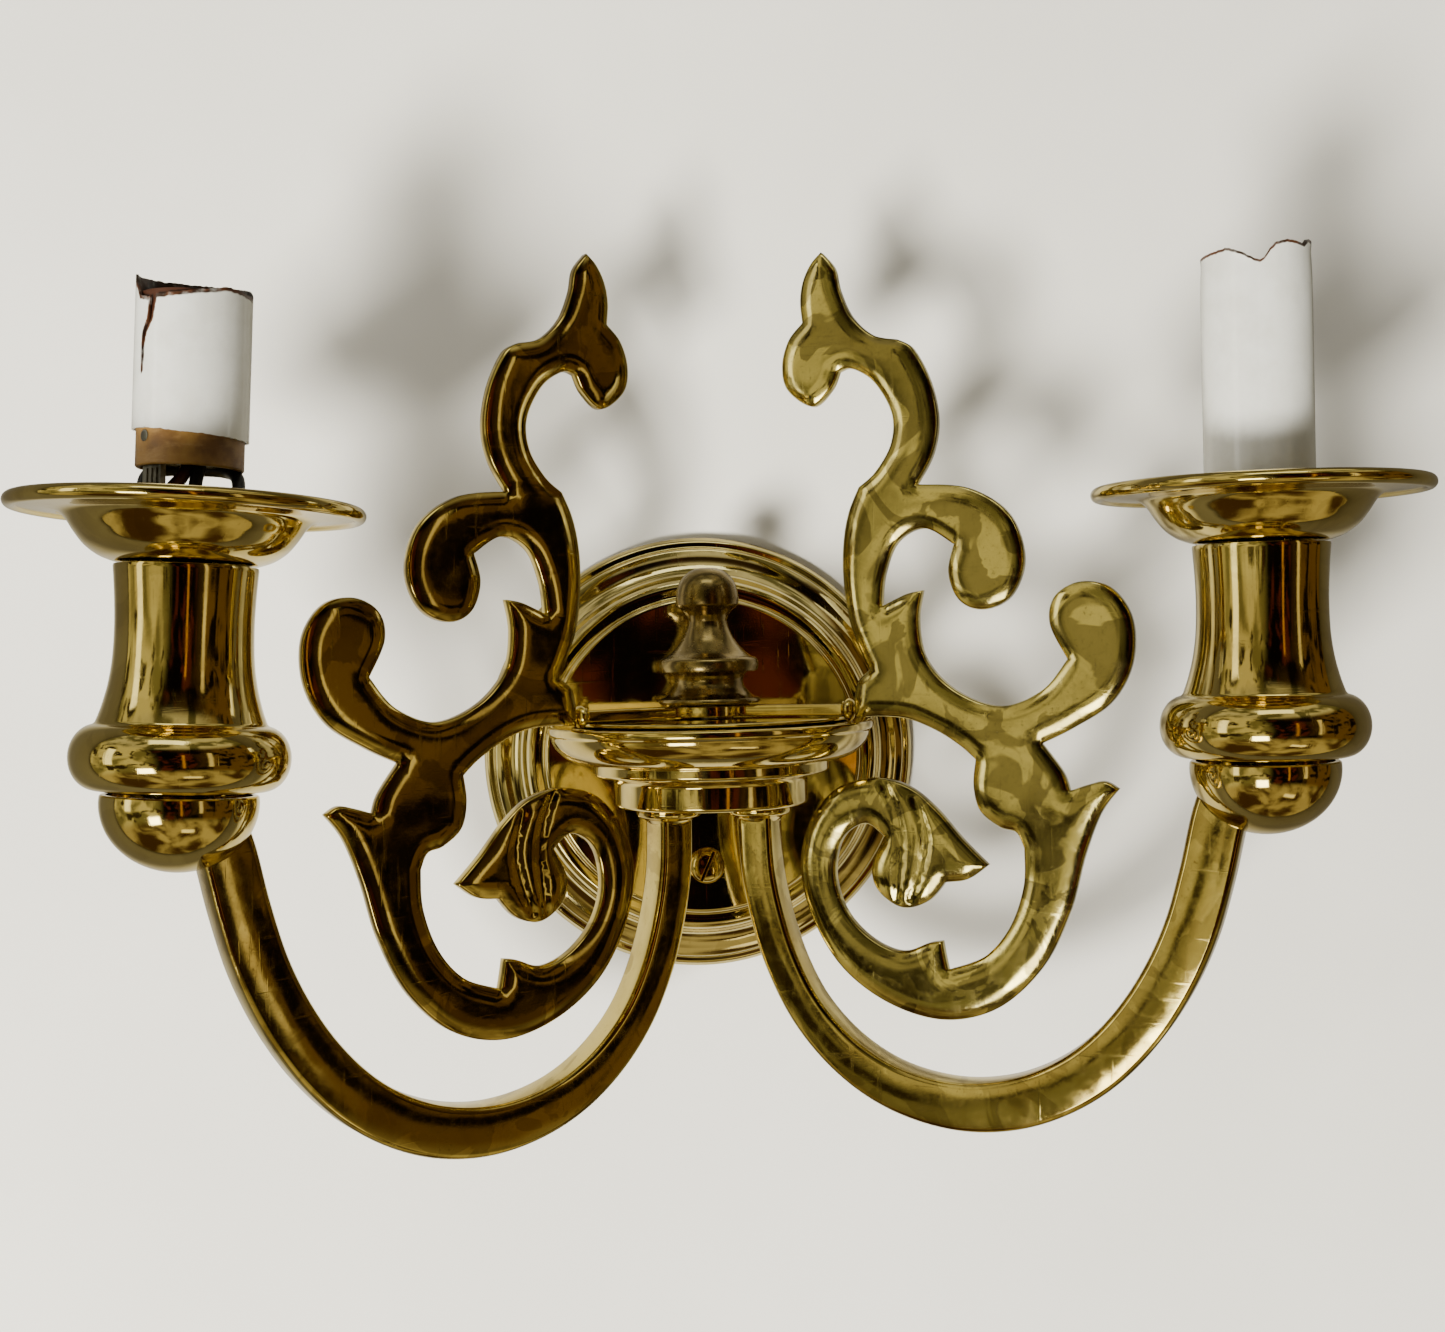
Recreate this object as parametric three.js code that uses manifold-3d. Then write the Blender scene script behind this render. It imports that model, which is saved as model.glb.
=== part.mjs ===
// Two-light wall sconce in polished brass, wired for electric candle lamps.
// Millimetres, +Z up. The wall is the plane y = 0 and the light stands out towards -Y.
// Each side (arm, scroll, cup, pan, lampholder, candle sleeve) is built in a flat frame of
// its own, X outwards from the body's axis and Z up, and is then swung into place.
import * as THREE from 'three';
import { mergeVertices } from 'three/addons/utils/BufferGeometryUtils.js';
import Module from 'manifold-3d';

const wasm = await Module();
wasm.setup();

// ---- driving dimensions ----
const GAP = 0.3;                      // air between pieces that touch on the real light
const WALL_TO_AXIS = 36;              // wall to the upright axis of the body
const SWING = 28.5 * Math.PI / 180;   // each arm's plane leans this far out from the wall

const PLATE_RADIUS = 54.5;
const PLATE_HEIGHT = 15.5;            // wall to the polished centre of the backplate
const SHEET = 1.2;                    // spun brass sheet
const SCREW_HEIGHT = 27.3;             // mounting screws above and below the plate's centre

const TUBE_RADIUS = 4.7;              // threaded lamp tube, outside
const TUBE_BORE = 3.2;
const TUBE_HOLE = TUBE_RADIUS + GAP;

const BODY_FLOOR = -10.1;
const FLOOR_THICKNESS = 1.9;
const BODY_NUT = 3.1;                 // thickness of the nuts inside the body
const BODY_TOP = 9.2;
const BODY_BACK = WALL_TO_AXIS - PLATE_HEIGHT - GAP;  // flat back, measured from the axis
const NUT_SEAT = BODY_FLOOR + FLOOR_THICKNESS + GAP;
const ROD_RADIUS = 2;
const ROD_HOLE = ROD_RADIUS + GAP;
const STRAP_BOTTOM = 10.7;
const STRAP_SIZE = 2.6;
const STRAP_LEVEL = STRAP_BOTTOM + STRAP_SIZE / 2;
const FINIAL_BOTTOM = STRAP_BOTTOM + STRAP_SIZE + GAP;

const ARM_ROOT = 12;                  // body axis to the arm's upright start
const TENON_RADIUS = 4;
const ARM_THICKNESS = 8.5;
const ARM_CORNER = 1.3;
const ARM_SLIM = 8.3;                 // width where the arm leaves the body
const ARM_FULL = 11.1;                // width where it carries the cup
const WIRE_BORE = 2.5;

const SCROLL_THICKNESS = 4.2;
const SCROLL_STEP = 4;              // longest facet along the scroll's edge

const CUP_REACH = 126;                // body axis to the candle cup's axis
const LEFT_CUP_REACH = 125.2;
const LEFT_LEAN = 3.4 * Math.PI / 180; // the left cup and candle lean towards the body
const BOSS_TOP = 1.1;
const CUP_TOP = 46;
const PAN_FLOOR = CUP_TOP + GAP;
const PAN_LIP = 57.2;
const TUBE_TOP = 55;

const SOCKET_BOTTOM = 66;
const SOCKET_TOP = 98;
const SOCKET_RADIUS = 7;
const LEG_RADIUS = 7.4;               // inner face of the bracket's upright leg
const LEG_SHEET = 1.2;
const LEG_TURN = 17.5 * Math.PI / 180; // the leg stands this far round from the arm's plane
const LINER_BOTTOM = 65;
const LINER_RADIUS = 10.4;
const LINER_WALL = 1;
const RIVET_LEVEL = 70.6;
const SLEEVE_BORE = 10.7;
const SLEEVE_RADIUS = 11.2;

const ROUND = 20;                     // facets round the turned pieces
const BOWL_FACETS = 28;
const WIRE_RADIUS = 0.85;
const WIRE_SPREAD = 1.05;             // each lead's centre from the middle of its bore

const BRASS = { color: 0xc89b3c, roughness: 0.16, metalness: 1 };
const WORN_BRASS = { color: 0xb58a3e, roughness: 0.3, metalness: 1 };
const STEEL = { color: 0x9a9a98, roughness: 0.4, metalness: 1 };
const WHITE = { color: 0xece9e0, roughness: 0.12, metalness: 0 };
const FIBRE = { color: 0xb08a4c, roughness: 0.8, metalness: 0 };
const PHENOLIC = { color: 0x2a211b, roughness: 0.45, metalness: 0 };
const BLACK_WIRE = { color: 0x17171a, roughness: 0.5, metalness: 0 };
const RED_WIRE = { color: 0x6e2c1e, roughness: 0.5, metalness: 0 };

// ---- shape helpers ----

function vectors(pairs) {
  return pairs.map(([x, y]) => new THREE.Vector2(x, y));
}

// Points along an elliptical arc, angles in degrees.
function arc(centreX, centreY, radiusX, radiusY, from, to, steps) {
  const points = [];
  for (let i = 0; i <= steps; i += 1) {
    const angle = (from + (to - from) * i / steps) * Math.PI / 180;
    points.push(new THREE.Vector2(
      centreX + radiusX * Math.cos(angle),
      centreY + radiusY * Math.sin(angle)));
  }
  return points;
}

function spline(pairs, steps) {
  return new THREE.SplineCurve(vectors(pairs)).getPoints(steps);
}

// Merges shared vertices, drops triangles without area and turns every face outwards.
function closed(geometry) {
  const bare = geometry.clone();
  bare.deleteAttribute('normal');
  bare.deleteAttribute('uv');
  const merged = mergeVertices(bare, 1e-4);
  const source = merged.index.array;
  const triangles = [];
  for (let i = 0; i < source.length; i += 3) {
    const [a, b, c] = [source[i], source[i + 1], source[i + 2]];
    if (a !== b && b !== c && c !== a) triangles.push(a, b, c);
  }
  const corner = (i) => new THREE.Vector3().fromBufferAttribute(merged.attributes.position, i);
  let volume = 0;
  for (let i = 0; i < triangles.length; i += 3) {
    const [a, b, c] = [corner(triangles[i]), corner(triangles[i + 1]), corner(triangles[i + 2])];
    volume += a.dot(b.cross(c));
  }
  if (volume < 0) triangles.reverse();
  merged.setIndex(triangles);
  merged.computeVertexNormals();
  return merged;
}

// A solid turned about Z from a profile of radius and height.
function turned(profile, facets = ROUND) {
  const onAxis = profile[0].x === 0 && profile[profile.length - 1].x === 0;
  const outline = onAxis ? profile : [...profile, profile[0]];
  return closed(new THREE.LatheGeometry(outline, facets).rotateX(Math.PI / 2));
}

// A plain round bar or tube standing from one height to another.
function bar(radius, bottom, top, facets = ROUND, bore = 0) {
  return turned(vectors([[bore, bottom], [radius, bottom], [radius, top], [bore, top]]), facets);
}

function box(sizeX, sizeY, sizeZ, x, y, z) {
  return new THREE.BoxGeometry(sizeX, sizeY, sizeZ).translate(x, y, z);
}

// A flat shape given thickness upwards from a height.
function slab(shape, bottom, top, curveSegments = 12) {
  const settings = { depth: top - bottom, bevelEnabled: false, curveSegments };
  return closed(new THREE.ExtrudeGeometry(shape, settings).translate(0, 0, bottom));
}

function hexNut(corner, hole, bottom, top) {
  const shape = new THREE.Shape(arc(0, 0, corner, corner, 0, 300, 5));
  shape.holes.push(new THREE.Path().absarc(0, 0, hole, 0, 2 * Math.PI));
  return slab(shape, bottom, top, 8);
}

// A round section carried along a path of 3-D points.
function swept(points, radius, sides, steps) {
  const shape = new THREE.Shape(arc(0, 0, radius, radius, 0, 360 - 360 / sides, sides - 1));
  const path = new THREE.CatmullRomCurve3(points, false, 'centripetal');
  return closed(new THREE.ExtrudeGeometry(shape, { steps, extrudePath: path, bevelEnabled: false }));
}

function solid(geometry) {
  const shape = closed(geometry);
  const vertProperties = new Float32Array(shape.attributes.position.array);
  const triVerts = new Uint32Array(shape.index.array);
  return new wasm.Manifold(new wasm.Mesh({ numProp: 3, vertProperties, triVerts }));
}

function surfaceOf(manifold) {
  const mesh = manifold.getMesh();
  const geometry = new THREE.BufferGeometry();
  const corners = new Float32Array(mesh.vertProperties);
  geometry.setAttribute('position', new THREE.BufferAttribute(corners, 3));
  geometry.setIndex(new THREE.BufferAttribute(new Uint32Array(mesh.triVerts), 1));
  geometry.computeVertexNormals();
  return geometry;
}

function cut(geometry, ...tools) {
  let result = solid(geometry);
  for (const tool of tools) result = result.subtract(solid(tool));
  return surfaceOf(result);
}

function join(geometry, ...others) {
  let result = solid(geometry);
  for (const other of others) result = result.add(solid(other));
  return surfaceOf(result);
}

function piece(name, geometry, look) {
  const mesh = new THREE.Mesh(geometry, new THREE.MeshStandardMaterial(look));
  mesh.name = name;
  return mesh;
}

// ---- wall parts: plate, crossbar, lamp tube, screws ----

// The spun backplate: flat mirror centre, step, bead, shallow slope, steep cove, outer flange.
function backplate() {
  const front = vectors([
    [PLATE_RADIUS, 0], [PLATE_RADIUS, 2.6], [PLATE_RADIUS - 1, 3.7], [51.7, 3.8],
    [51.1, 5.6], [49.4, 7.3], [43.9, 9.6], [43.3, 11.8], [39.4, 12.5], [39, 14.8],
    [38.3, PLATE_HEIGHT], [TUBE_HOLE, PLATE_HEIGHT]]);
  const back = vectors([
    [TUBE_HOLE, PLATE_HEIGHT - SHEET], [37.7, PLATE_HEIGHT - SHEET], [38.1, 11.5],
    [42.2, 10.3], [42.9, 8.7], [49, 5.9], [50.5, 2.6], [53.2, 2.4], [53.2, 0]]);
  const sheet = turned([...front, ...back], 32);
  const holes = [-1, 1].map((side) =>
    bar(2.5, 10, 20, 12).translate(0, side * SCREW_HEIGHT, 0));
  return cut(sheet, ...holes).rotateX(Math.PI / 2);
}

// The steel crossbar against the wall box, with its tube hole, screw holes and box slots.
function crossbar() {
  const halfWidth = 9.5;
  const halfLength = 42;
  const shape = new THREE.Shape(vectors([
    [-halfWidth, -halfLength], [halfWidth, -halfLength],
    [halfWidth, halfLength], [-halfWidth, halfLength]]));
  shape.holes.push(new THREE.Path().absarc(0, 0, TUBE_HOLE, 0, 2 * Math.PI));
  for (const side of [-1, 1]) {
    shape.holes.push(new THREE.Path().absarc(0, side * SCREW_HEIGHT, 2.3, 0, 2 * Math.PI));
    const slot = vectors([[-5, 32.5], [5, 32.5], [5, 37], [-5, 37]]);
    shape.holes.push(new THREE.Path(slot.map((p) => new THREE.Vector2(p.x, side * p.y))));
  }
  return slab(shape, 0, 2.5, 6).rotateX(Math.PI / 2);
}

// Lamp tube and its nuts lie along -Y, so they are turned upright and laid over.
function layOver(geometry) {
  return geometry.rotateX(Math.PI / 2);
}

// Slotted round-head screw; its head stands on the plate's polished centre.
function mountingScrew() {
  const seat = PLATE_HEIGHT + GAP;
  const profile = vectors([
    [0, 0.5], [2, 0.5], [2, seat], [4.3, seat], [4.4, seat + 0.9], [3.9, seat + 2.1],
    [3.2, seat + 2.8], [0, seat + 2.8]]);
  const slot = box(10, 1, 2.4, 0, 0, seat + 2.9);
  return layOver(cut(turned(profile, 16), slot.rotateZ(65 * Math.PI / 180)));
}

// ---- centre parts: body, lid, rod, strap, finial ----

function behindBack(offset) {
  return box(120, 60, 60, 0, BODY_BACK + 30 - offset, 0);
}

// The cast body: drum, ring and bowl in one, hollow, with a flat back against the plate.
function body() {
  const outside = turned([
    ...vectors([
      [0, BODY_FLOOR], [22.2, BODY_FLOOR], [22.7, BODY_FLOOR + 0.5], [22.7, -4.2], [23.3, -3.6],
      [25.6, -3], [27.6, -2.7], [27.9, -2.2], [27.9, -0.4], [28.9, 0.1]]),
    ...arc(29, 8, 8.6, 7.8, -82, -4, 5),
    ...vectors([[38.4, 8], [38.4, 8.9], [38, BODY_TOP], [0, BODY_TOP]])], BOWL_FACETS);
  const hollow = turned(vectors([
    [0, BODY_FLOOR + FLOOR_THICKNESS], [20.8, BODY_FLOOR + FLOOR_THICKNESS], [20.8, -3],
    [25.8, -1.1], [26, 1.5], [30.5, 2.3], [33.8, 4.8],
    [35.4, 7.9], [32, 7.9], [32, 12], [0, 12]]), BOWL_FACETS);
  const room = solid(hollow).subtract(solid(behindBack(2)));
  const shell = solid(outside).subtract(solid(behindBack(0))).subtract(room);
  const tubeHole = layOver(bar(TUBE_HOLE, -30, -10, 16));
  const rodHole = bar(ROD_HOLE, -20, -5, 12);
  const armHoles = [SWING + Math.PI, -SWING].map((angle) =>
    bar(TENON_RADIUS + GAP, -20, -5, 16).translate(ARM_ROOT, 0, 0).rotateZ(angle));
  return cut(surfaceOf(shell), tubeHole, rodHole, ...armHoles);
}

// Flat lid on the body's rim, cut straight at the back.
function bodyLid() {
  const bottom = BODY_TOP + GAP;
  const profile = vectors([
    [ROD_HOLE, bottom], [32.4, bottom], [32.8, bottom + 0.3], [32.8, bottom + 0.6],
    [32.4, bottom + 0.8], [ROD_HOLE, bottom + 0.8]]);
  return cut(turned(profile, BOWL_FACETS), behindBack(0));
}

// The V-shaped strap under the finial: a hub with a bar, collar and pin out to each scroll.
function scrollStrap() {
  const hub = bar(9.7, STRAP_BOTTOM, STRAP_BOTTOM + STRAP_SIZE, ROUND, ROD_HOLE);
  const collarProfile = vectors([
    [0, 33.5], [2, 33.5], [2.6, 34.2], [2.6, 35.4], [2, 36.1], [0.8, 36.1], [0.8, 41], [0, 41]]);
  const limbs = [];
  for (const angle of [SWING + Math.PI, -SWING]) {
    const collar = turned(collarProfile, 12).rotateY(Math.PI / 2).translate(0, 0, STRAP_LEVEL);
    const strip = box(26, STRAP_SIZE, STRAP_SIZE, 21, 0, STRAP_LEVEL);
    limbs.push(collar.rotateZ(angle), strip.rotateZ(angle));
  }
  return join(hub, ...limbs);
}

// Urn finial, tapped from below for the centre rod.
function finial() {
  const z = FINIAL_BOTTOM;
  const profile = [
    ...vectors([[0, 34.5], [ROD_HOLE, 34.5], [ROD_HOLE, z], [9.7, z], [11.8, z + 0.3]]),
    ...spline([[12.1, z + 0.9], [11.2, z + 1.6], [8.8, 17.2], [8.1, 18.9], [9, 21]], 5),
    ...vectors([[11.4, 21.3], [11.7, 22], [11.7, 23.7], [11.2, 24.2]]),
    ...spline([[10.2, 24.6], [7.4, 26.9], [5.2, 30.3], [4.5, 33], [5.1, 35.4], [6.9, 36.6]], 6),
    ...arc(0, 38.2, 7.35, 7.4, -8, 90, 5)];
  profile[profile.length - 1].x = 0;
  return turned(profile, 16);
}

// ---- arm ----

// Centre line of the U-shaped arm, from inside the collar to inside the cup's ball.
const armLine = new THREE.SplineCurve(vectors([
  [ARM_ROOT, -11], [12.5, -24], [14.5, -35], [18, -46], [23.5, -56.5], [31, -65], [40, -71.3],
  [50, -75], [61, -76.3], [72, -74.8], [82, -70.8], [91, -64.6], [99, -56], [105.5, -46],
  [110.5, -35], [114, -23], [116.5, -12], [118.5, -6]]));

function armWidth(t) {
  return ARM_SLIM + (ARM_FULL - ARM_SLIM) * THREE.MathUtils.smoothstep(t, 0.2, 0.55);
}

function armBlank(clearance) {
  const steps = 24;
  const inner = [];
  const outer = [];
  for (let i = 0; i <= steps; i += 1) {
    const t = i / steps;
    const centre = armLine.getPointAt(t);
    const tangent = armLine.getTangentAt(t);
    const side = new THREE.Vector2(-tangent.y, tangent.x);
    const half = armWidth(t) / 2 + clearance;
    inner.push(centre.clone().addScaledVector(side, half));
    outer.unshift(centre.clone().addScaledVector(side, -half));
  }
  const blank = new THREE.ExtrudeGeometry(new THREE.Shape([...inner, ...outer]), {
    depth: ARM_THICKNESS + 2 * clearance - 2 * ARM_CORNER,
    bevelThickness: ARM_CORNER,
    bevelSize: ARM_CORNER,
    bevelOffset: -ARM_CORNER,
    bevelSegments: 1 });
  const halfThickness = (ARM_THICKNESS + 2 * clearance) / 2;
  return closed(blank.translate(0, 0, ARM_CORNER - halfThickness).rotateX(Math.PI / 2));
}

// A point given in the frame of a cup, in the frame of its side.
function fromCup(cup, x, y, z) {
  return new THREE.Vector3(x, y, z)
    .applyAxisAngle(new THREE.Vector3(0, 1, 0), -cup.lean)
    .add(new THREE.Vector3(cup.reach, 0, 0));
}

// The way of the wires through the arm and into a cup, shifted sideways by offset.
function wireWay(cup, offset) {
  const along = [0.06, 0.15, 0.24, 0.33, 0.42, 0.5, 0.58, 0.66, 0.74, 0.82, 0.89];
  const middle = along.map((t) => {
    const p = armLine.getPointAt(t);
    return new THREE.Vector3(p.x, offset, p.y);
  });
  return [
    new THREE.Vector3(ARM_ROOT, offset, -3),
    new THREE.Vector3(ARM_ROOT, offset, -9),
    ...middle,
    new THREE.Vector3(116.2, offset, -16),
    new THREE.Vector3(118.8, offset, -10.4),
    new THREE.Vector3(123, offset, -6.6),
    fromCup(cup, -0.6, offset, -2.4),
    fromCup(cup, 0, offset, 4)];
}

function arm(cup) {
  const z = BODY_FLOOR - GAP;
  const collar = turned(vectors([
    [0, z - 3.3], [4.6, z - 3.3], [5.6, z - 2.3], [7.2, z - 1.6], [7.5, z - 0.9], [7.2, z],
    [0, z]]), 20).translate(ARM_ROOT, 0, 0);
  const tenon = bar(TENON_RADIUS, z - 1, -4.2, 16).translate(ARM_ROOT, 0, 0);
  const boss = bar(7, -8.5, BOSS_TOP, 20).rotateY(-cup.lean).translate(cup.reach, 0, 0);
  const counterbore = bar(TUBE_HOLE, -3, 5, 16).rotateY(-cup.lean).translate(cup.reach, 0, 0);
  const bore = swept(wireWay(cup, 0), WIRE_BORE, 6, 30);
  return cut(join(armBlank(0), collar, tenon, boss), bore, counterbore);
}

// ---- scroll ----

// The scroll's edge, run by run between its points and notches.
const SCROLL_RUNS = [
  [[30.8, 116.2], [28.3, 113.8], [26.3, 110], [25.5, 105.5], [25.9, 100.6]],
  [[25.9, 100.6], [22.4, 96.8], [20.7, 91], [22, 85.4], [27.8, 81.4], [32.4, 84.8], [34.4, 88.8]],
  [[34.4, 88.8], [37.4, 89.3], [42.8, 85.8], [46.8, 78.5], [46.4, 71.6], [42.6, 65.6], [38.6, 62.4]],
  [[38.6, 62.4], [36, 56.6], [34.6, 49.5], [34.5, 41], [35.8, 32], [38.4, 25], [40.2, 21]],
  [[40.2, 21], [37.4, 18.4], [36.4, 14.6]],
  [[36.4, 14.6], [36.4, 10.1]],
  [[36.4, 10.1], [43, 10.4], [49.5, 9.7], [55.8, 7.1], [61, 3.8], [64.4, 0.8]],
  [[64.4, 0.8], [63.8, -5], [65.2, -10.6], [69.6, -14.1], [73.2, -15.2], [74.9, -18.6]],
  [[74.9, -18.6], [74.6, -27], [71.3, -36.2], [65.4, -43], [57, -46.4]],
  [[57, -46.4], [56.3, -43], [55.8, -40]],
  [[55.8, -40], [52.6, -40.6], [46.4, -42.7], [39.4, -40.2], [33.4, -34.2], [30.8, -26],
    [32.6, -17.6], [38.4, -13.9], [43, -17]],
  [[43, -17], [39.8, -23.4], [41, -29], [46.6, -32.7], [52.6, -31.2], [56.8, -26.7]],
  [[56.8, -26.7], [62, -25.9], [66.7, -22.6]],
  [[66.7, -22.6], [61, -17], [55, -10.2], [48.6, -5.3], [40.6, -3.5], [31.6, -6], [25, -13.6],
    [22.4, -24], [25, -35.8], [32, -47], [43, -54.6], [56, -57.6], [68.4, -54.2], [78.4, -44.8],
    [84.6, -32.6], [88.2, -20], [91.8, -10.8], [95.8, -5.4]],
  [[95.8, -5.4], [92.8, -3.8], [89, -4.6], [85.2, -5.9]],
  [[85.2, -5.9], [83.7, -1.8], [79.2, 4.3]],
  [[79.2, 4.3], [86.2, 7.7], [94.6, 13.2], [99.2, 21.4], [99.4, 31], [95, 37.8], [88.4, 39.4],
    [82.8, 36.4], [81.6, 30.4], [85.3, 22.7]],
  [[85.3, 22.7], [79.6, 16], [70.4, 12.6], [60.4, 16], [53.6, 23], [51.9, 31.4], [53, 38.6]],
  [[53, 38.6], [49, 37.8], [43.3, 35.2]],
  [[43.3, 35.2], [44.2, 42.4], [47.4, 49.6], [53.8, 52.4], [60.5, 48.6]],
  [[60.5, 48.6], [59.1, 42.4], [61.4, 36.2], [66.8, 33.9], [73.2, 36.8], [76.2, 45],
    [73, 54.8], [64, 60.9], [52.2, 62.3]],
  [[52.2, 62.3], [56, 68.8], [57.4, 76.4], [55.8, 85], [52, 92.6], [48.6, 94.9]],
  [[48.6, 94.9], [42.8, 96.4], [37.8, 101], [35, 107.2], [33.8, 112.4], [30.8, 116.2]]];

function scroll() {
  const points = [];
  for (const run of SCROLL_RUNS) {
    const curve = new THREE.SplineCurve(vectors(run));
    const count = Math.max(1, Math.round(curve.getLength() / SCROLL_STEP));
    points.push(...curve.getSpacedPoints(count).slice(0, -1));
  }
  const plate = slab(new THREE.Shape(points), -SCROLL_THICKNESS / 2, SCROLL_THICKNESS / 2);
  const pinHole = bar(1.1, 30, 42, 10).rotateY(Math.PI / 2).translate(0, 0, STRAP_LEVEL);
  return cut(plate.rotateX(Math.PI / 2), pinHole);
}

// ---- candle cup stack, each piece turned about its own axis ----

// Hollow ball under the cup, slotted where the arm comes in.
function cupBall(cup) {
  const shell = turned([
    ...arc(0, -0.6, 15.3, 13.8, -90, 0, 5),
    ...vectors([[15.1, 0.9], [14, 0.9]]),
    ...arc(0, -0.6, 14, 12.6, 0, -90, 4)].map((p) => (Math.abs(p.x) < 1e-6 ? p.setX(0) : p)));
  return cut(shell, armBlank(0.4).translate(-cup.reach, 0, 0).rotateY(cup.lean));
}

// The candle cup: wide ring below, waisted neck above, hollow, open at the top.
function candleCup() {
  return turned([
    ...vectors([[TUBE_HOLE, 1.4], [14.2, 1.4], [15.6, 1.7]]),
    ...arc(15.9, 8.2, 5.3, 6.5, -78, 80, 6),
    ...spline([[16.4, 15], [14.8, 19.6], [13.5, 26.6], [13.3, 34], [13.9, CUP_TOP - 0.4]], 4),
    ...vectors([[13.6, CUP_TOP], [12.4, CUP_TOP]]),
    ...vectors([[12.2, 32], [13.4, 20.2], [15.2, 14]]),
    ...arc(15.6, 8.2, 4.4, 5.4, 60, -60, 2),
    ...vectors([[14.6, 2.6], [TUBE_HOLE, 2.6]])]);
}

// The drip pan: small foot, rounded bowl, sloped shoulder, flat flange and rolled lip.
function dripPan() {
  const z = PAN_FLOOR;
  return turned([
    ...vectors([[TUBE_HOLE, z], [13.6, z]]),
    ...spline([[14.4, z + 0.3], [18.6, z + 2.8], [21.6, z + 6], [24.2, z + 9.2], [27, z + 9.8]], 4),
    ...arc(33, PAN_LIP, 1.5, 1.5, -140, 140, 4),
    ...spline([[27, z + 10.9], [23.4, z + 10.1], [20.6, z + 6.8], [17.6, z + 3.8], [13.8, z + 1.2]], 3),
    ...vectors([[TUBE_HOLE, z + 1.1]])], 24);
}

// ---- lampholder ----

// Strap bracket: a threaded hub on the lamp tube and one ribbed leg up beside the holder.
function socketBracket(turn) {
  const width = 6;
  const hub = bar(7.6, 51.2, 54, 20, TUBE_HOLE);
  const foot = box(4.6, width, LEG_SHEET, 7, 0, 53.4);
  const leg = box(LEG_SHEET, width, 21, LEG_RADIUS + LEG_SHEET / 2, 0, 63.3);
  const ribs = [-1.6, 0, 1.6].map((y) => box(0.6, 0.8, 9, LEG_RADIUS + LEG_SHEET, y, 60));
  const core = bar(TUBE_HOLE, 50, 56, 16);
  return cut(join(hub, foot, leg, ...ribs), core).rotateZ(turn);
}

// Phenolic lampholder body with its deep mouth.
function socketBody() {
  return turned(vectors([
    [0, SOCKET_BOTTOM], [SOCKET_RADIUS - 0.6, SOCKET_BOTTOM], [SOCKET_RADIUS, SOCKET_BOTTOM + 0.8],
    [SOCKET_RADIUS, SOCKET_TOP - 0.5], [SOCKET_RADIUS - 0.4, SOCKET_TOP], [6.4, SOCKET_TOP],
    [6.4, 73], [0, 73]]), 16);
}

function screwShell() {
  return bar(6.1, 76, SOCKET_TOP - 1, 20, 5.8);
}

function centreContact() {
  return join(box(7, 3, 0.5, 0, 0, 73.6), box(3.2, 3, 0.5, 1, 0, 74.8), box(0.5, 3, 1.7, 2.6, 0, 74.2));
}

// Fibre liner between lampholder and candle sleeve, with its hole for the rivet.
function liner(turn) {
  const tube = bar(LINER_RADIUS, LINER_BOTTOM, SOCKET_TOP + 1, ROUND, LINER_RADIUS - LINER_WALL);
  const pinHole = bar(0.95, 5, 15, 10).rotateY(Math.PI / 2).translate(0, 0, RIVET_LEVEL);
  return cut(tube, pinHole).rotateZ(turn);
}

// Rivet that holds the liner in line with the bracket's leg.
function linerRivet(turn) {
  const profile = vectors([
    [0, LINER_RADIUS - LINER_WALL], [0.6, LINER_RADIUS - LINER_WALL],
    [0.6, LINER_RADIUS + 0.1], [1.2, LINER_RADIUS + 0.1],
    [0.9, LINER_RADIUS + 0.22], [0, LINER_RADIUS + 0.25]]);
  return turned(profile, 10).rotateY(Math.PI / 2).translate(0, 0, RIVET_LEVEL).rotateZ(turn);
}

// Height of a broken rim at an angle in degrees, from a few chips given as [angle, height].
function rimHeight(chips, angle) {
  const turn = ((angle % 360) + 360) % 360;
  const last = chips[chips.length - 1];
  let before = [last[0] - 360, last[1]];
  for (const chip of [...chips, [chips[0][0] + 360, chips[0][1]]]) {
    if (turn <= chip[0]) {
      const share = (turn - before[0]) / (chip[0] - before[0]);
      return before[1] + (chip[1] - before[1]) * share;
    }
    before = chip;
  }
  return last[1];
}

// A candle sleeve with broken rims. Angles run from -Y, the room side, towards +X.
function brokenSleeve(bottomChips, topChips) {
  const sleeve = bar(SLEEVE_RADIUS, 0, 1, 36, SLEEVE_BORE);
  const spots = sleeve.attributes.position;
  for (let i = 0; i < spots.count; i += 1) {
    const angle = Math.atan2(spots.getX(i), -spots.getY(i)) * 180 / Math.PI;
    const chips = spots.getZ(i) > 0.5 ? topChips : bottomChips;
    spots.setZ(i, rimHeight(chips, angle));
  }
  sleeve.computeVertexNormals();
  return sleeve;
}

// Left: only the upper length is left, cracked down from its rim.
function leftSleeve() {
  const bottom = [[0, 71.2], [70, 70.6], [180, 71.5], [250, 72.6], [320, 72]];
  const top = [
    [0, 98.2], [16, 98.8], [32, 99.3], [44, 100], [76, 99.6], [90, 99.6], [104, 100.6],
    [120, 102.2], [150, 103.4], [180, 104], [210, 104], [240, 103.6], [270, 103], [284, 102.9],
    [299, 100.2], [306, 98], [320, 97.4], [338, 97.8]];
  const crack = new THREE.Shape(vectors([
    [-0.8, 8], [-0.8, 0], [-3.4, -8], [-3.9, -15], [-3.6, -15], [-2.8, -8], [0.8, 0], [0.8, 8]]));
  const wedge = new THREE.ExtrudeGeometry(crack, { depth: 6, bevelEnabled: false })
    .rotateX(Math.PI / 2)
    .translate(0, -7, 98)
    .rotateZ(-31 * Math.PI / 180);
  return cut(brokenSleeve(bottom, top), wedge);
}

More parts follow.
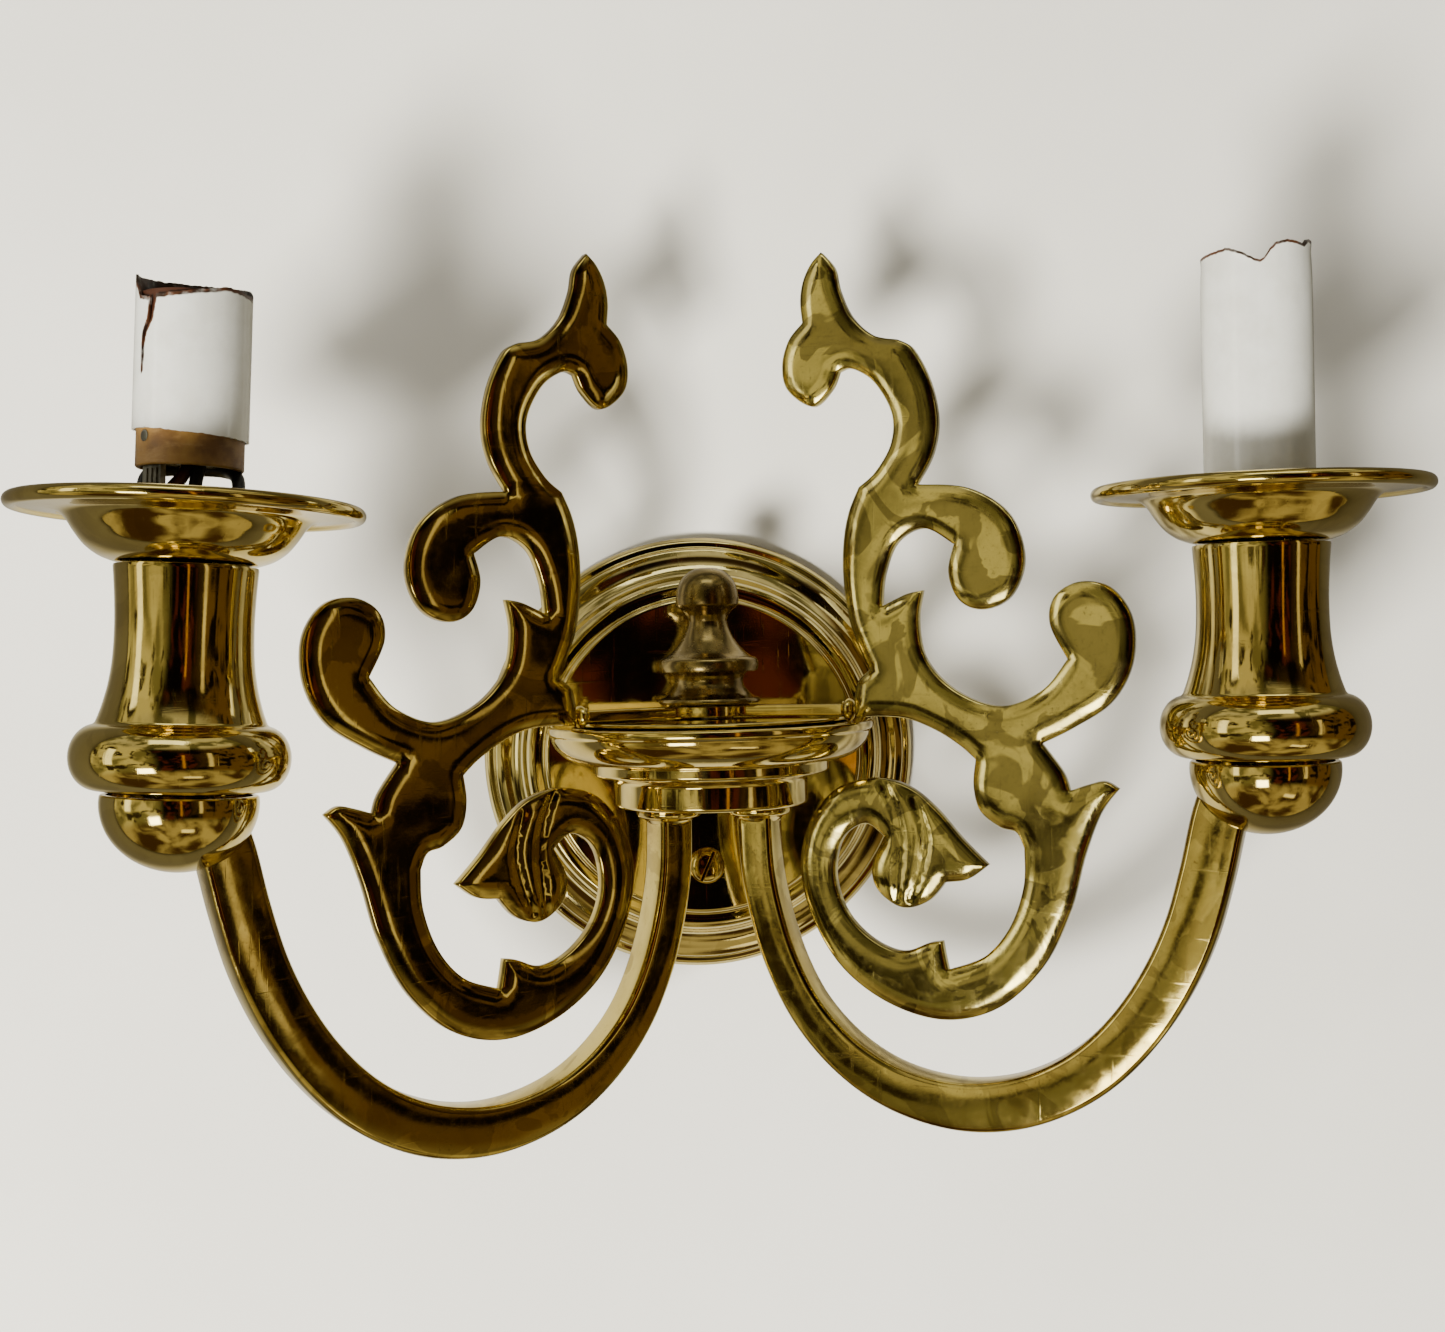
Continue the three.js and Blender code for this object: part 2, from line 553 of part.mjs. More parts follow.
// Right: full length down into the pan, with a notched and melted rim.
function rightSleeve() {
  const bottom = [[0, 47.8], [180, 47.8]];
  const top = [
    [0, 106.1], [13, 106.7], [38, 106.1], [49, 107.4], [62, 107.3], [76, 106.5], [96, 106],
    [150, 106], [210, 105.4], [270, 105.4], [290, 105.6], [308, 105.9], [325, 104.5],
    [338, 103], [343, 102.6], [348, 103.3], [355, 105.3]];
  return brokenSleeve(bottom, top);
}

// ---- leads ----

// One lead: wall end of the lamp tube, body, arm, cup, then a loop out and up to the lampholder.
// spread is 1 for the black lead and -1 for the red one.
function lead(way, cup, spread) {
  const toSide = (x, y, z) =>
    new THREE.Vector3(x, y, z).applyAxisAngle(new THREE.Vector3(0, 0, 1), -way.angle);
  const towards = Math.sign(Math.cos(way.angle));
  const level = spread * way.front * WIRE_SPREAD;
  const offset = spread * WIRE_SPREAD;
  const loop = [
    [2.4, 56.6], [6, 57.8], [7.8, 60.4], [7, 62.8], [5.4, 64.2], [5, SOCKET_BOTTOM - GAP]];
  const points = [
    toSide(towards * 1.1, WALL_TO_AXIS - 1.5, level),
    toSide(towards * 1.1, 24, level),
    toSide(towards * 1.3, 13, level),
    toSide(towards * 5.6, 5.5, level * 1.2 + 0.6),
    ...wireWay(cup, offset),
    fromCup(cup, 0, offset, 24),
    fromCup(cup, 0, offset, 46),
    fromCup(cup, 0, offset * 1.2, TUBE_TOP - 1),
    ...loop.map(([out, z]) => {
      const sideways = toSide(spread * out, 0, 0);
      return fromCup(cup, sideways.x, sideways.y, z);
    })];
  return swept(points, WIRE_RADIUS, 5, 64);
}

// ---- assembly ----

// way.angle turns the side into place; way.front is 1 where the side's own +Y faces the room.
function side(word, way, cup, sleeve) {
  const group = new THREE.Group();
  group.position.set(0, -WALL_TO_AXIS, 0);
  group.rotation.z = way.angle;
  const named = (name) => `${name}_${word}`;
  group.add(piece(named('arm'), arm(cup), BRASS));
  const armNut = hexNut(6.4, TENON_RADIUS + GAP, NUT_SEAT, NUT_SEAT + BODY_NUT)
    .translate(ARM_ROOT, 0, 0);
  group.add(piece(named('arm_nut'), armNut, STEEL));
  group.add(piece(named('scroll'), scroll(), BRASS));
  group.add(piece(named('lead_black'), lead(way, cup, 1), BLACK_WIRE));
  group.add(piece(named('lead_red'), lead(way, cup, -1), RED_WIRE));

  const stack = new THREE.Group();
  stack.position.x = cup.reach;
  stack.rotation.y = -cup.lean;
  group.add(stack);
  stack.add(piece(named('cup_ball'), cupBall(cup), BRASS));
  stack.add(piece(named('candle_cup'), candleCup(), BRASS));
  stack.add(piece(named('drip_pan'), dripPan(), BRASS));
  stack.add(piece(named('cup_tube'), bar(TUBE_RADIUS, -2.7, TUBE_TOP, 16, TUBE_BORE), STEEL));
  stack.add(piece(named('pan_nut'), hexNut(8, TUBE_HOLE, PAN_FLOOR + 1.4, 50.8), STEEL));
  stack.add(piece(named('socket_bracket'), socketBracket(way.front * LEG_TURN), STEEL));
  stack.add(piece(named('socket_body'), socketBody(), PHENOLIC));
  stack.add(piece(named('screw_shell'), screwShell(), WORN_BRASS));
  stack.add(piece(named('centre_contact'), centreContact(), WORN_BRASS));
  stack.add(piece(named('liner'), liner(way.front * LEG_TURN), FIBRE));
  stack.add(piece(named('liner_rivet'), linerRivet(way.front * LEG_TURN), STEEL));
  const candle = piece(named('candle_sleeve'), sleeve, WHITE);
  candle.rotation.z = -way.angle;
  stack.add(candle);
  return group;
}

function centre() {
  const group = new THREE.Group();
  const axis = new THREE.Group();
  axis.position.set(0, -WALL_TO_AXIS, 0);
  group.add(axis);
  group.add(piece('backplate', backplate(), BRASS));
  group.add(piece('crossbar', crossbar(), STEEL));
  const wallTube = layOver(bar(TUBE_RADIUS, 1, 22.5, 16, TUBE_BORE));
  group.add(piece('wall_tube', wallTube, STEEL));
  group.add(piece('crossbar_nut', layOver(hexNut(7.2, TUBE_HOLE, 2.8, 5.6)), STEEL));
  group.add(piece('body_nut', layOver(hexNut(7.2, TUBE_HOLE, 18.1, 21)), STEEL));
  for (const [word, height] of [['upper', SCREW_HEIGHT], ['lower', -SCREW_HEIGHT]]) {
    const screw = piece(`mounting_screw_${word}`, mountingScrew(), WORN_BRASS);
    screw.position.z = height;
    group.add(screw);
  }
  axis.add(piece('body', body(), BRASS));
  axis.add(piece('body_lid', bodyLid(), BRASS));
  axis.add(piece('centre_rod', bar(ROD_RADIUS, BODY_FLOOR + 0.4, 34, 12), STEEL));
  axis.add(piece('rod_nut', hexNut(4.6, ROD_HOLE, NUT_SEAT, NUT_SEAT + BODY_NUT), STEEL));
  axis.add(piece('scroll_strap', scrollStrap(), BRASS));
  axis.add(piece('finial', finial(), BRASS));
  return group;
}

const sconce = new THREE.Group();
sconce.add(centre());
sconce.add(side(
  'left', { angle: Math.PI + SWING, front: 1 },
  { reach: LEFT_CUP_REACH, lean: LEFT_LEAN }, leftSleeve()));
sconce.add(side(
  'right', { angle: -SWING, front: -1 },
  { reach: CUP_REACH, lean: 0 }, rightSleeve()));

export default sconce;
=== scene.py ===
"""Two-light brass wall sconce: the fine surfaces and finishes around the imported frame.

Lengths below are millimetres and become metres in build(). Each side of the light is drawn in
a flat frame of its own, r outwards from the body's axis and z up, as its arm and scroll lie.
"""
import math

import bmesh
import bpy
import numpy as np
from mathutils import Matrix, Vector, noise
from mathutils.geometry import delaunay_2d_cdt


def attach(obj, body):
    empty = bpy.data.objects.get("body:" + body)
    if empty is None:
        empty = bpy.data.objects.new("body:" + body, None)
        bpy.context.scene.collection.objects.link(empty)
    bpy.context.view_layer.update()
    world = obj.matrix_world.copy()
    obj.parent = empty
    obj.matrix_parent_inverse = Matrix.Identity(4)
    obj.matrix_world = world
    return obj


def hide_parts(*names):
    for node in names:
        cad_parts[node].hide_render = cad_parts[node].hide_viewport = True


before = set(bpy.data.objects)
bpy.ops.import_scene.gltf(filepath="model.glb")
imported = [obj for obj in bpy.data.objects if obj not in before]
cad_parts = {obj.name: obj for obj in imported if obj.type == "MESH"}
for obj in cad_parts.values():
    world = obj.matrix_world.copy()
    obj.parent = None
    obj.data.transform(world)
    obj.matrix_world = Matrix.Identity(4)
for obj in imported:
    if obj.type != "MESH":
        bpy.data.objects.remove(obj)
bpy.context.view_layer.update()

MM = 0.001
GAP = 0.3
WALL_TO_AXIS = 36
SWING = math.radians(28.5)
PLATE_RADIUS = 54.5
PLATE_HEIGHT = 15.5
SCREW_HEIGHT = 27.3
SLOT_TURN = math.radians(65)
BODY_FLOOR = -10.1
BODY_BACK = 20.2
ARM_ROOT = 12
STRAP_LEVEL = 12
SLEEVE_RADIUS = 11.2
SLEEVE_BORE = 10.7
LINER_RADIUS = 10.4
RIVET_LEVEL = 70.6
LEG_TURN = math.radians(17.5)
LEAD_RADIUS = 0.85
LEAD_SWELL = 0.45
LEAD_SPREAD = 1.05
SIDES = {"left": math.pi + SWING, "right": -SWING}
REACH = {"left": 125.2, "right": 126}
LEAN = {"left": math.radians(3.4), "right": 0.0}

IMAGE_SIZE = (1445, 1332)
FOCAL_PIXELS = 1786.5
CAMERA_PLACE = (-34.14, -455.83, 30.23)
CAMERA_YAW = 0.09071
CAMERA_PITCH = -0.01728
CAMERA_ROLL = 0.02437
IMAGE_CENTRE = (725.7, 663.4)


# ---- outlines ----


def smooth_line(points, per_span=6):
    """A Catmull-Rom line through the points."""
    line = []
    last = len(points) - 1
    for i in range(last):
        p0, p1 = points[max(i - 1, 0)], points[i]
        p2, p3 = points[i + 1], points[min(i + 2, last)]
        for k in range(per_span):
            t = k / per_span
            line.append(tuple(catmull(a, b, c, d, t) for a, b, c, d in zip(p0, p1, p2, p3)))
    line.append(tuple(points[last]))
    return line


def catmull(a, b, c, d, t):
    """One coordinate of the curve from b to c."""
    m0, m1 = (c - a) / 2, (d - b) / 2
    return (2 * b - 2 * c + m0 + m1) * t**3 + (-3 * b + 3 * c - 2 * m0 - m1) * t**2 + m0 * t + b


def arc(cr, cz, rr, rz, start, end, steps):
    """Points along part of an ellipse, from one angle in degrees to another."""
    angles = [math.radians(start + (end - start) * i / steps) for i in range(steps + 1)]
    return [(cr + rr * math.cos(a), cz + rz * math.sin(a)) for a in angles]


def softened(points, radius):
    """The same outline with its corners rounded, the ends left alone."""
    out = [points[0]]
    for before, corner, after in zip(points, points[1:], points[2:]):
        a, b, c = Vector(before), Vector(corner), Vector(after)
        if (b - a).length < 1e-6 or (c - b).length < 1e-6:
            continue
        if (b - a).angle(c - b) < 0.2:
            out.append(corner)
            continue
        cut_a = b + (a - b).normalized() * min(radius, (a - b).length * 0.45)
        cut_c = b + (c - b).normalized() * min(radius, (c - b).length * 0.45)
        for t in (0, 0.25, 0.5, 0.75, 1):
            out.append(tuple(cut_a * (1 - t) ** 2 + b * 2 * t * (1 - t) + cut_c * t * t))
    out.append(points[-1])
    return out


def evenly(line, spacing):
    """Points along a line about a spacing apart, its ends kept."""
    line = np.array(line, float)
    walked = np.concatenate([[0], np.cumsum(np.linalg.norm(np.diff(line, axis=0), axis=1))])
    count = max(1, round(walked[-1] / spacing))
    at = np.linspace(0, walked[-1], count + 1)
    return np.stack([np.interp(at, walked, line[:, k]) for k in range(line.shape[1])], axis=1)


# ---- meshes ----


def linked(name, data):
    """A new object in the scene."""
    obj = bpy.data.objects.new(name, data)
    bpy.context.scene.collection.objects.link(obj)
    return obj


def build(name, verts, faces, place, sharp=35):
    """An object from points in millimetres, put in its place, smooth between sharp edges."""
    mesh = bpy.data.meshes.new(name)
    mesh.from_pydata([tuple(c * MM for c in place @ Vector(v)) for v in verts], [], faces)
    work = bmesh.new()
    work.from_mesh(mesh)
    bmesh.ops.remove_doubles(work, verts=work.verts, dist=1e-7)
    bmesh.ops.recalc_face_normals(work, faces=work.faces)
    work.to_mesh(mesh)
    work.free()
    obj = linked(name, mesh)
    shade(obj, sharp)
    return obj


def shade(obj, sharp=35):
    """Smooth but for edges sharper than an angle in degrees."""
    obj.data.polygons.foreach_set("use_smooth", [True] * len(obj.data.polygons))
    obj.data.set_sharp_from_angle(angle=math.radians(sharp))


def turned_shape(profile, count):
    """Points and faces of a profile of radius and height turned about z, closed on itself."""
    verts, rings = [], []
    for r, z in profile:
        if abs(r) < 1e-6:
            rings.append([len(verts)])
            verts.append((0, 0, z))
            continue
        rings.append(range(len(verts), len(verts) + count))
        for i in range(count):
            a = 2 * math.pi * i / count
            verts.append((r * math.cos(a), r * math.sin(a), z))
    pairs = list(zip(rings, rings[1:]))
    if len(rings[0]) > 1 or len(rings[-1]) > 1:
        pairs.append((rings[-1], rings[0]))
    faces = []
    for low, high in pairs:
        for i in range(count):
            j = (i + 1) % count
            quad = [low[i % len(low)], low[j % len(low)], high[j % len(high)], high[i % len(high)]]
            ring = list(dict.fromkeys(quad))
            if len(ring) > 2:
                faces.append(ring)
    return verts, faces


def bands(rings):
    """The quads between each ring of points and the next."""
    faces = []
    for low, high in zip(rings, rings[1:]):
        for k in range(len(low)):
            n = (k + 1) % len(low)
            faces.append([low[k], low[n], high[n], high[k]])
    return faces


def turned(name, profile, place, count=96, sharp=35):
    return build(name, *turned_shape(profile, count), place, sharp)


def rod(radius, low, high, place, count=32):
    """A plain cylinder, to cut away or to join on."""
    return turned("rod", [(0, low), (radius, low), (radius, high), (0, high)], place, count)


def rounded_box(name, size, centre, place, radius):
    """A block with rounded edges."""
    work = bmesh.new()
    bmesh.ops.create_cube(work, size=1)
    bmesh.ops.scale(work, vec=size, verts=work.verts)
    bmesh.ops.translate(work, vec=centre, verts=work.verts)
    bmesh.ops.bevel(work, geom=list(work.edges), offset=radius, segments=3, affect="EDGES", profile=0.5)
    verts = [tuple(v.co) for v in work.verts]
    faces = [[v.index for v in f.verts] for f in work.faces]
    work.free()
    return build(name, verts, faces, place)


def boolean(obj, other, operation="DIFFERENCE"):
    """Cuts or joins with another object, which is then removed."""
    modifier = obj.modifiers.new("shape", "BOOLEAN")
    modifier.object = other
    modifier.operation = operation
    modifier.solver = "EXACT"
    graph = bpy.context.evaluated_depsgraph_get()
    mesh = bpy.data.meshes.new_from_object(obj.evaluated_get(graph))
    obj.modifiers.clear()
    old = obj.data
    obj.data = mesh
    bpy.data.meshes.remove(old)
    bpy.data.objects.remove(other)
    work = bmesh.new()
    work.from_mesh(mesh)
    bmesh.ops.remove_doubles(work, verts=work.verts, dist=1e-7)
    bmesh.ops.dissolve_degenerate(work, edges=work.edges, dist=1e-7)
    work.to_mesh(mesh)
    work.free()
    shade(obj)
    return obj


def axis_place(r=0.0, side=None):
    """The body's upright axis, or an axis a reach r out along one side's plane."""
    place = Matrix.Translation((0, -WALL_TO_AXIS, 0))
    if side is None:
        return place
    return place @ Matrix.Rotation(SIDES[side], 4, "Z") @ Matrix.Translation((r, 0, 0))


def cup_place(side):
    """The axis of one side's cup and candle; the left one leans towards the body."""
    return axis_place(REACH[side], side) @ Matrix.Rotation(-LEAN[side], 4, "Y")


def to_room(height=0.0):
    """Turns a piece drawn upright so that it runs out from the wall at a height."""
    return Matrix.Translation((0, 0, height)) @ Matrix.Rotation(math.pi / 2, 4, "X")


def finish_piece(obj, look, node, body="fixture"):
    obj.data.materials.clear()
    obj.data.materials.append(looks[look])
    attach(obj, body)
    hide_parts(node)


# ---- materials ----

SCRATCH_DEPTH = 0.00002


class Nodes:
    """A node tree being filled, with short ways to add to it."""

    def __init__(self, tree, place):
        self.tree = tree
        self.place = tree.nodes.new("ShaderNodeTexCoord").outputs[place]

    def node(self, kind, inputs=None, **settings):
        made = self.tree.nodes.new(kind)
        for key, value in settings.items():
            setattr(made, key, value)
        for key, value in (inputs or {}).items():
            self.connect(value, made.inputs[key])
        return made

    def connect(self, value, socket):
        if isinstance(value, bpy.types.NodeSocket):
            self.tree.links.new(value, socket)
        else:
            socket.default_value = value

    def noise(self, scale, detail=3.0, rough=0.55, stretch=(1, 1, 1), distort=0.0):
        """A noise value; scale is in features per metre, stretch lengthens it along an axis."""
        inputs = {"Vector": self.place, "Scale": scale, "Detail": detail, "Roughness": rough}
        if stretch != (1, 1, 1):
            squeeze = {"Vector": self.place, "Scale": tuple(1 / s for s in stretch)}
            inputs["Vector"] = self.node("ShaderNodeMapping", squeeze).outputs[0]
        return self.node("ShaderNodeTexNoise", {**inputs, "Distortion": distort}).outputs["Fac"]

    def ramp(self, value, low, high, to_low=0.0, to_high=1.0):
        """A soft step from one value to another."""
        inputs = {"Value": value, "From Min": low, "From Max": high, "To Min": to_low, "To Max": to_high}
        return self.node("ShaderNodeMapRange", inputs, interpolation_type="SMOOTHSTEP").outputs["Result"]

    def math(self, operation, a, b=0.0):
        return self.node("ShaderNodeMath", {0: a, 1: b}, operation=operation).outputs[0]

    def times(self, a, b):
        return self.math("MULTIPLY", a, b)

    def plus(self, a, b):
        return self.math("ADD", a, b)

    def mix(self, factor, a, b):
        made = self.node("ShaderNodeMix", {"Factor": factor}, data_type="RGBA")
        self.connect(colour(a), made.inputs["A"])
        self.connect(colour(b), made.inputs["B"])
        return made.outputs["Result"]

    def blend(self, factor, a, b):
        """A mix of two shaders."""
        return self.node("ShaderNodeMixShader", {0: factor, 1: a, 2: b}).outputs[0]


class Maker(Nodes):
    """A material being built."""

    def __init__(self, name):
        self.material = bpy.data.materials.new(name)
        self.material.use_nodes = True
        super().__init__(self.material.node_tree, "Object")
        self.shader = self.tree.nodes["Principled BSDF"]

    def bump(self, height, distance, strength, **normal):
        inputs = {"Height": height, "Distance": distance, "Strength": strength, **normal}
        return self.node("ShaderNodeBump", inputs).outputs["Normal"]

    def finish(self, **sockets):
        for key, value in sockets.items():
            self.connect(colour(value), self.shader.inputs[key.replace("_", " ")])
        return self.material


def colour(value):
    if isinstance(value, tuple) and len(value) == 3:
        return (*value, 1.0)
    return value


def brass(name, bright, dark, tarnish, rough, haze, speckle, ripple, patches):
    """Old polished brass: tarnish in clouds and crisp patches, a speckled haze, fine scratches."""
    m = Maker(name)
    clouds = m.ramp(m.noise(42, 5, 0.6, distort=0.6), 0.42, 0.68)
    mottle = m.ramp(m.noise(260, 4, 0.65), 0.4, 0.75)
    dots = m.ramp(m.noise(1500, 2, 0.5), 0.55, 0.72)
    stain = m.plus(m.times(clouds, tarnish), m.times(m.times(mottle, dots), speckle))
    base = m.mix(stain, bright, dark)
    patch = m.times(m.ramp(m.noise(52, 3, 0.5, distort=1.8), 0.5, 0.54), patches)
    base = m.mix(patch, base, m.mix(0.5, dark, (0.16, 0.13, 0.05)))
    along = m.ramp(m.noise(700, 3, 0.6, stretch=(1, 1, 14)), 0.6, 0.72)
    across = m.ramp(m.noise(620, 3, 0.6, stretch=(12, 12, 1)), 0.62, 0.74)
    scratches = m.math("MAXIMUM", along, across)
    dull = m.plus(m.times(mottle, haze), m.times(dots, haze * speckle))
    dull = m.plus(m.plus(dull, m.times(scratches, 0.07)), rough)
    surface = m.bump(scratches, SCRATCH_DEPTH, 0.25)
    surface = m.bump(m.noise(1800, 2), SCRATCH_DEPTH, 0.12, Normal=surface)
    if ripple:
        surface = m.bump(m.noise(34, 2, 0.4), ripple, 1.0, Normal=surface)
    return m.finish(Base_Color=base, Metallic=1.0, Roughness=dull, Normal=surface)


def plated_steel():
    m = Maker("plated steel")
    grain = m.noise(900, 4, 0.6, stretch=(1, 1, 8))
    spots = m.ramp(m.noise(320, 4), 0.45, 0.7)
    base = m.mix(spots, (0.33, 0.335, 0.32), (0.16, 0.16, 0.15))
    dull = m.ramp(grain, 0.3, 0.7, 0.3, 0.5)
    return m.finish(Base_Color=base, Metallic=1.0, Roughness=dull, Normal=m.bump(grain, 0.00003, 0.4))


def white_sleeve():
    """Glossy white plastic; the mesh's burn layer carries the heat stains of its rims."""
    m = Maker("white sleeve")
    burn = m.node("ShaderNodeAttribute", attribute_name="burn").outputs["Fac"]
    cloud = m.noise(140, 4, 0.6)
    base = m.mix(m.ramp(cloud, 0.35, 0.75), (0.61, 0.605, 0.54), (0.54, 0.53, 0.46))
    dust = m.ramp(m.noise(2600, 2, 0.5), 0.7, 0.78, 0, 0.35)
    base = m.mix(dust, base, (0.35, 0.31, 0.25))
    edge = m.times(m.ramp(burn, 0.0, 0.35), m.ramp(m.noise(420, 4), 0.25, 0.5, 0.7, 1))
    char = m.mix(m.ramp(m.noise(300, 3), 0.4, 0.6), (0.06, 0.02, 0.007), (0.016, 0.007, 0.004))
    base = m.mix(edge, base, char)
    dull = m.plus(m.ramp(m.noise(500, 3), 0.4, 0.7, 0.14, 0.22), m.times(burn, 0.35))
    waves = m.bump(m.noise(90, 2), 0.0002, 0.4)
    return m.finish(Base_Color=base, Roughness=dull, Normal=waves, Coat_Weight=0.35, Coat_Roughness=0.07)


def fibre():
    """Tan vulcanised fibre, near-black towards its upper end."""
    m = Maker("fibre")
    threads = m.noise(600, 5, 0.7, stretch=(4, 4, 1))
    stain = m.ramp(m.noise(170, 4), 0.35, 0.65)
    base = m.mix(stain, (0.27, 0.145, 0.035), (0.14, 0.065, 0.015))
    base = m.mix(m.ramp(threads, 0.5, 0.7, 0, 0.3), base, (0.46, 0.3, 0.12))
    # near-black from 74 to 82 mm up and above
    height = m.node("ShaderNodeSeparateXYZ", {"Vector": m.place}).outputs["Z"]
    base = m.mix(m.ramp(height, 0.074, 0.082), base, (0.035, 0.012, 0.006))
    surface = m.bump(threads, 0.0001, 0.4)
    return m.finish(Base_Color=base, Roughness=m.ramp(threads, 0.3, 0.7, 0.35, 0.6), Normal=surface)


def moulded(name, tone, pale, rough):
    """Moulded or extruded plastic with faint wear."""
    m = Maker(name)
    wear = m.ramp(m.noise(380, 4, 0.6), 0.5, 0.8)
    base = m.mix(m.times(wear, 0.5), tone, pale)
    dull = m.ramp(m.noise(800, 3), 0.3, 0.7, rough, rough + 0.15)
    return m.finish(Base_Color=base, Roughness=dull, Normal=m.bump(m.noise(1400, 2), 0.00004, 0.3))


# bright and dark tone, tarnish, roughness, haze, speckle, depth of ripple in metres, patches
BRASS = {
    "plate": ((0.77, 0.65, 0.29), (0.42, 0.3, 0.1), 0.3, 0.05, 0.05, 0.1, 0, 0.15),
    "turned": ((0.77, 0.62, 0.21), (0.41, 0.28, 0.07), 0.35, 0.06, 0.07, 0.25, 0.0004, 0.15),
    "dulled": ((0.34, 0.26, 0.1), (0.16, 0.105, 0.035), 0.7, 0.19, 0.12, 0.5, 0.0003, 0.3),
    "arm": ((0.73, 0.59, 0.19), (0.34, 0.22, 0.05), 0.55, 0.07, 0.09, 0.5, 0.0006, 0.4),
    # The two scrolls are one casting: the left row's darker, more orange tones are painted shade for the
    # dark room it mirrors, and the right row's paler olive tones are a painted reflection of the room's
    # pale side.
    "left scroll": ((0.67, 0.53, 0.16), (0.3, 0.19, 0.04), 0.5, 0.07, 0.06, 0.3, 0.0007, 0.6),
    "right scroll": ((0.72, 0.61, 0.21), (0.32, 0.26, 0.08), 0.6, 0.09, 0.1, 0.6, 0.0008, 0.8),
    "worn": ((0.82, 0.68, 0.32), (0.5, 0.36, 0.13), 0.4, 0.32, 0.15, 0.4, 0, 0.15),
}
looks = {
    **{look: brass(f"{look} brass", *row) for look, row in BRASS.items()},
    "steel": plated_steel(),
    "sleeve": white_sleeve(),
    "fibre": fibre(),
    "phenolic": moulded("phenolic", (0.022, 0.014, 0.01), (0.07, 0.05, 0.035), 0.22),
    "black": moulded("black insulation", (0.01, 0.01, 0.012), (0.05, 0.05, 0.055), 0.35),
    "red": moulded("red insulation", (0.07, 0.016, 0.01), (0.2, 0.07, 0.04), 0.3),
}


# ---- pieces at the wall ----


def make_backplate():
    """Spun plate: flat mirror centre, step, bead, cove, ledge and outer flange."""
    front = softened(
        [(PLATE_RADIUS, 0), (PLATE_RADIUS, 2.6), (53.4, 3.8), (51.9, 3.9), (51.5, 6.3)]
        + smooth_line([(49.6, 7.0), (47.2, 7.7), (45.2, 9.1), (44.2, 10.8)], 5)
        + [(43.7, 12.0)]
        + smooth_line([(43.1, 12.8), (41.8, 13.3), (40.2, 13.2)], 4)
        + [(39.5, 13.3), (39.2, 14.9), (38.5, PLATE_HEIGHT), (5.1, PLATE_HEIGHT)],
        0.45,
    )
    back = [(5.1, 14.4), (37.8, 14.4), (38.2, 12.1), (42.3, 11.9), (42.9, 9.6), (46, 6.3), (50.4, 5.2)]
    back += [(50.6, 2.6), (53.2, 2.4), (53.2, 0)]
    plate = turned("backplate_skin", front + back, to_room(), 160, 25)
    for height in (-SCREW_HEIGHT, SCREW_HEIGHT):
        boolean(plate, rod(2.6, 10, 20, to_room(height)))
    finish_piece(plate, "plate", "backplate")


def make_screw(word, height):
    """Slotted brass screw with a domed head."""
    seat = PLATE_HEIGHT + GAP
    head = softened([(0, 0.5), (1.4, 0.5), (2, 1.1), (2, seat), (4.3, seat), (4.4, seat + 0.8)], 0.25)
    head += smooth_line([(4.2, seat + 1.3), (3.6, seat + 2.1), (2.6, seat + 2.6), (0, seat + 2.8)], 5)
    screw = turned(f"screw_{word}", head, to_room(height), 48)
    turn = Matrix.Rotation(SLOT_TURN, 4, "Z")
    slot = rounded_box("slot", (10, 1, 2.4), (0, 0, seat + 2.9), to_room(height) @ turn, 0.1)
    boolean(screw, slot)
    finish_piece(screw, "turned", f"mounting_screw_{word}")


# ---- body and finial ----


def behind(offset=0.0):
    """A block that takes away all that lies behind the body's flat back."""
    size = (120, 60, 60)
    return rounded_box("behind", size, (0, BODY_BACK + size[1] / 2 - offset, 0), axis_place(), 0.01)


def make_body():
    """Cast half bowl on a drum, hollow, cut flat against the plate."""
    outside = softened(
        [(0, BODY_FLOOR), (22.1, BODY_FLOOR), (22.7, BODY_FLOOR + 0.6), (22.7, -4.4), (23.1, -3.7)]
        + smooth_line([(24.3, -3.3), (26.1, -2.9), (27.3, -2.6)], 4)
        + [(27.9, -2.1), (27.9, 0.1), (29.1, 0.3)]
        + arc(29.1, 7.6, 8.5, 7.3, -88, -6, 18)
        + [(38.3, 7.4), (38.4, 8.2), (38.3, 8.9), (37.8, 9.2), (0, 9.2)],
        0.3,
    )
    inside = [(0, -8.2), (20.8, -8.2), (20.8, -3), (25.8, -1.1), (26, 1.5), (30.5, 2.3), (33.8, 4.8)]
    inside += [(35.4, 7.9), (32, 7.9), (32, 12), (0, 12)]
    body = boolean(turned("body_casting", outside, axis_place(), 144, 30), behind())
    boolean(body, boolean(turned("room", inside, axis_place()), behind(2)))
    boolean(body, rod(5, -30, -10, axis_place() @ Matrix.Rotation(math.pi / 2, 4, "X")))
    for side in SIDES:
        boolean(body, rod(4.3, -20, -5, axis_place(ARM_ROOT, side)))
    boolean(body, rod(2.3, -20, -5, axis_place(), 24))
    shade(body, 30)
    finish_piece(body, "turned", "body")


def make_lid():
    """Flat lid on the half bowl, with its edge eased."""
    profile = softened([(2.3, 9.5), (32.5, 9.5), (32.8, 9.9), (32.5, 10.3), (2.3, 10.3)], 0.2)
    lid = boolean(turned("body_cover", profile, axis_place()), behind())
    finish_piece(lid, "turned", "body_lid")


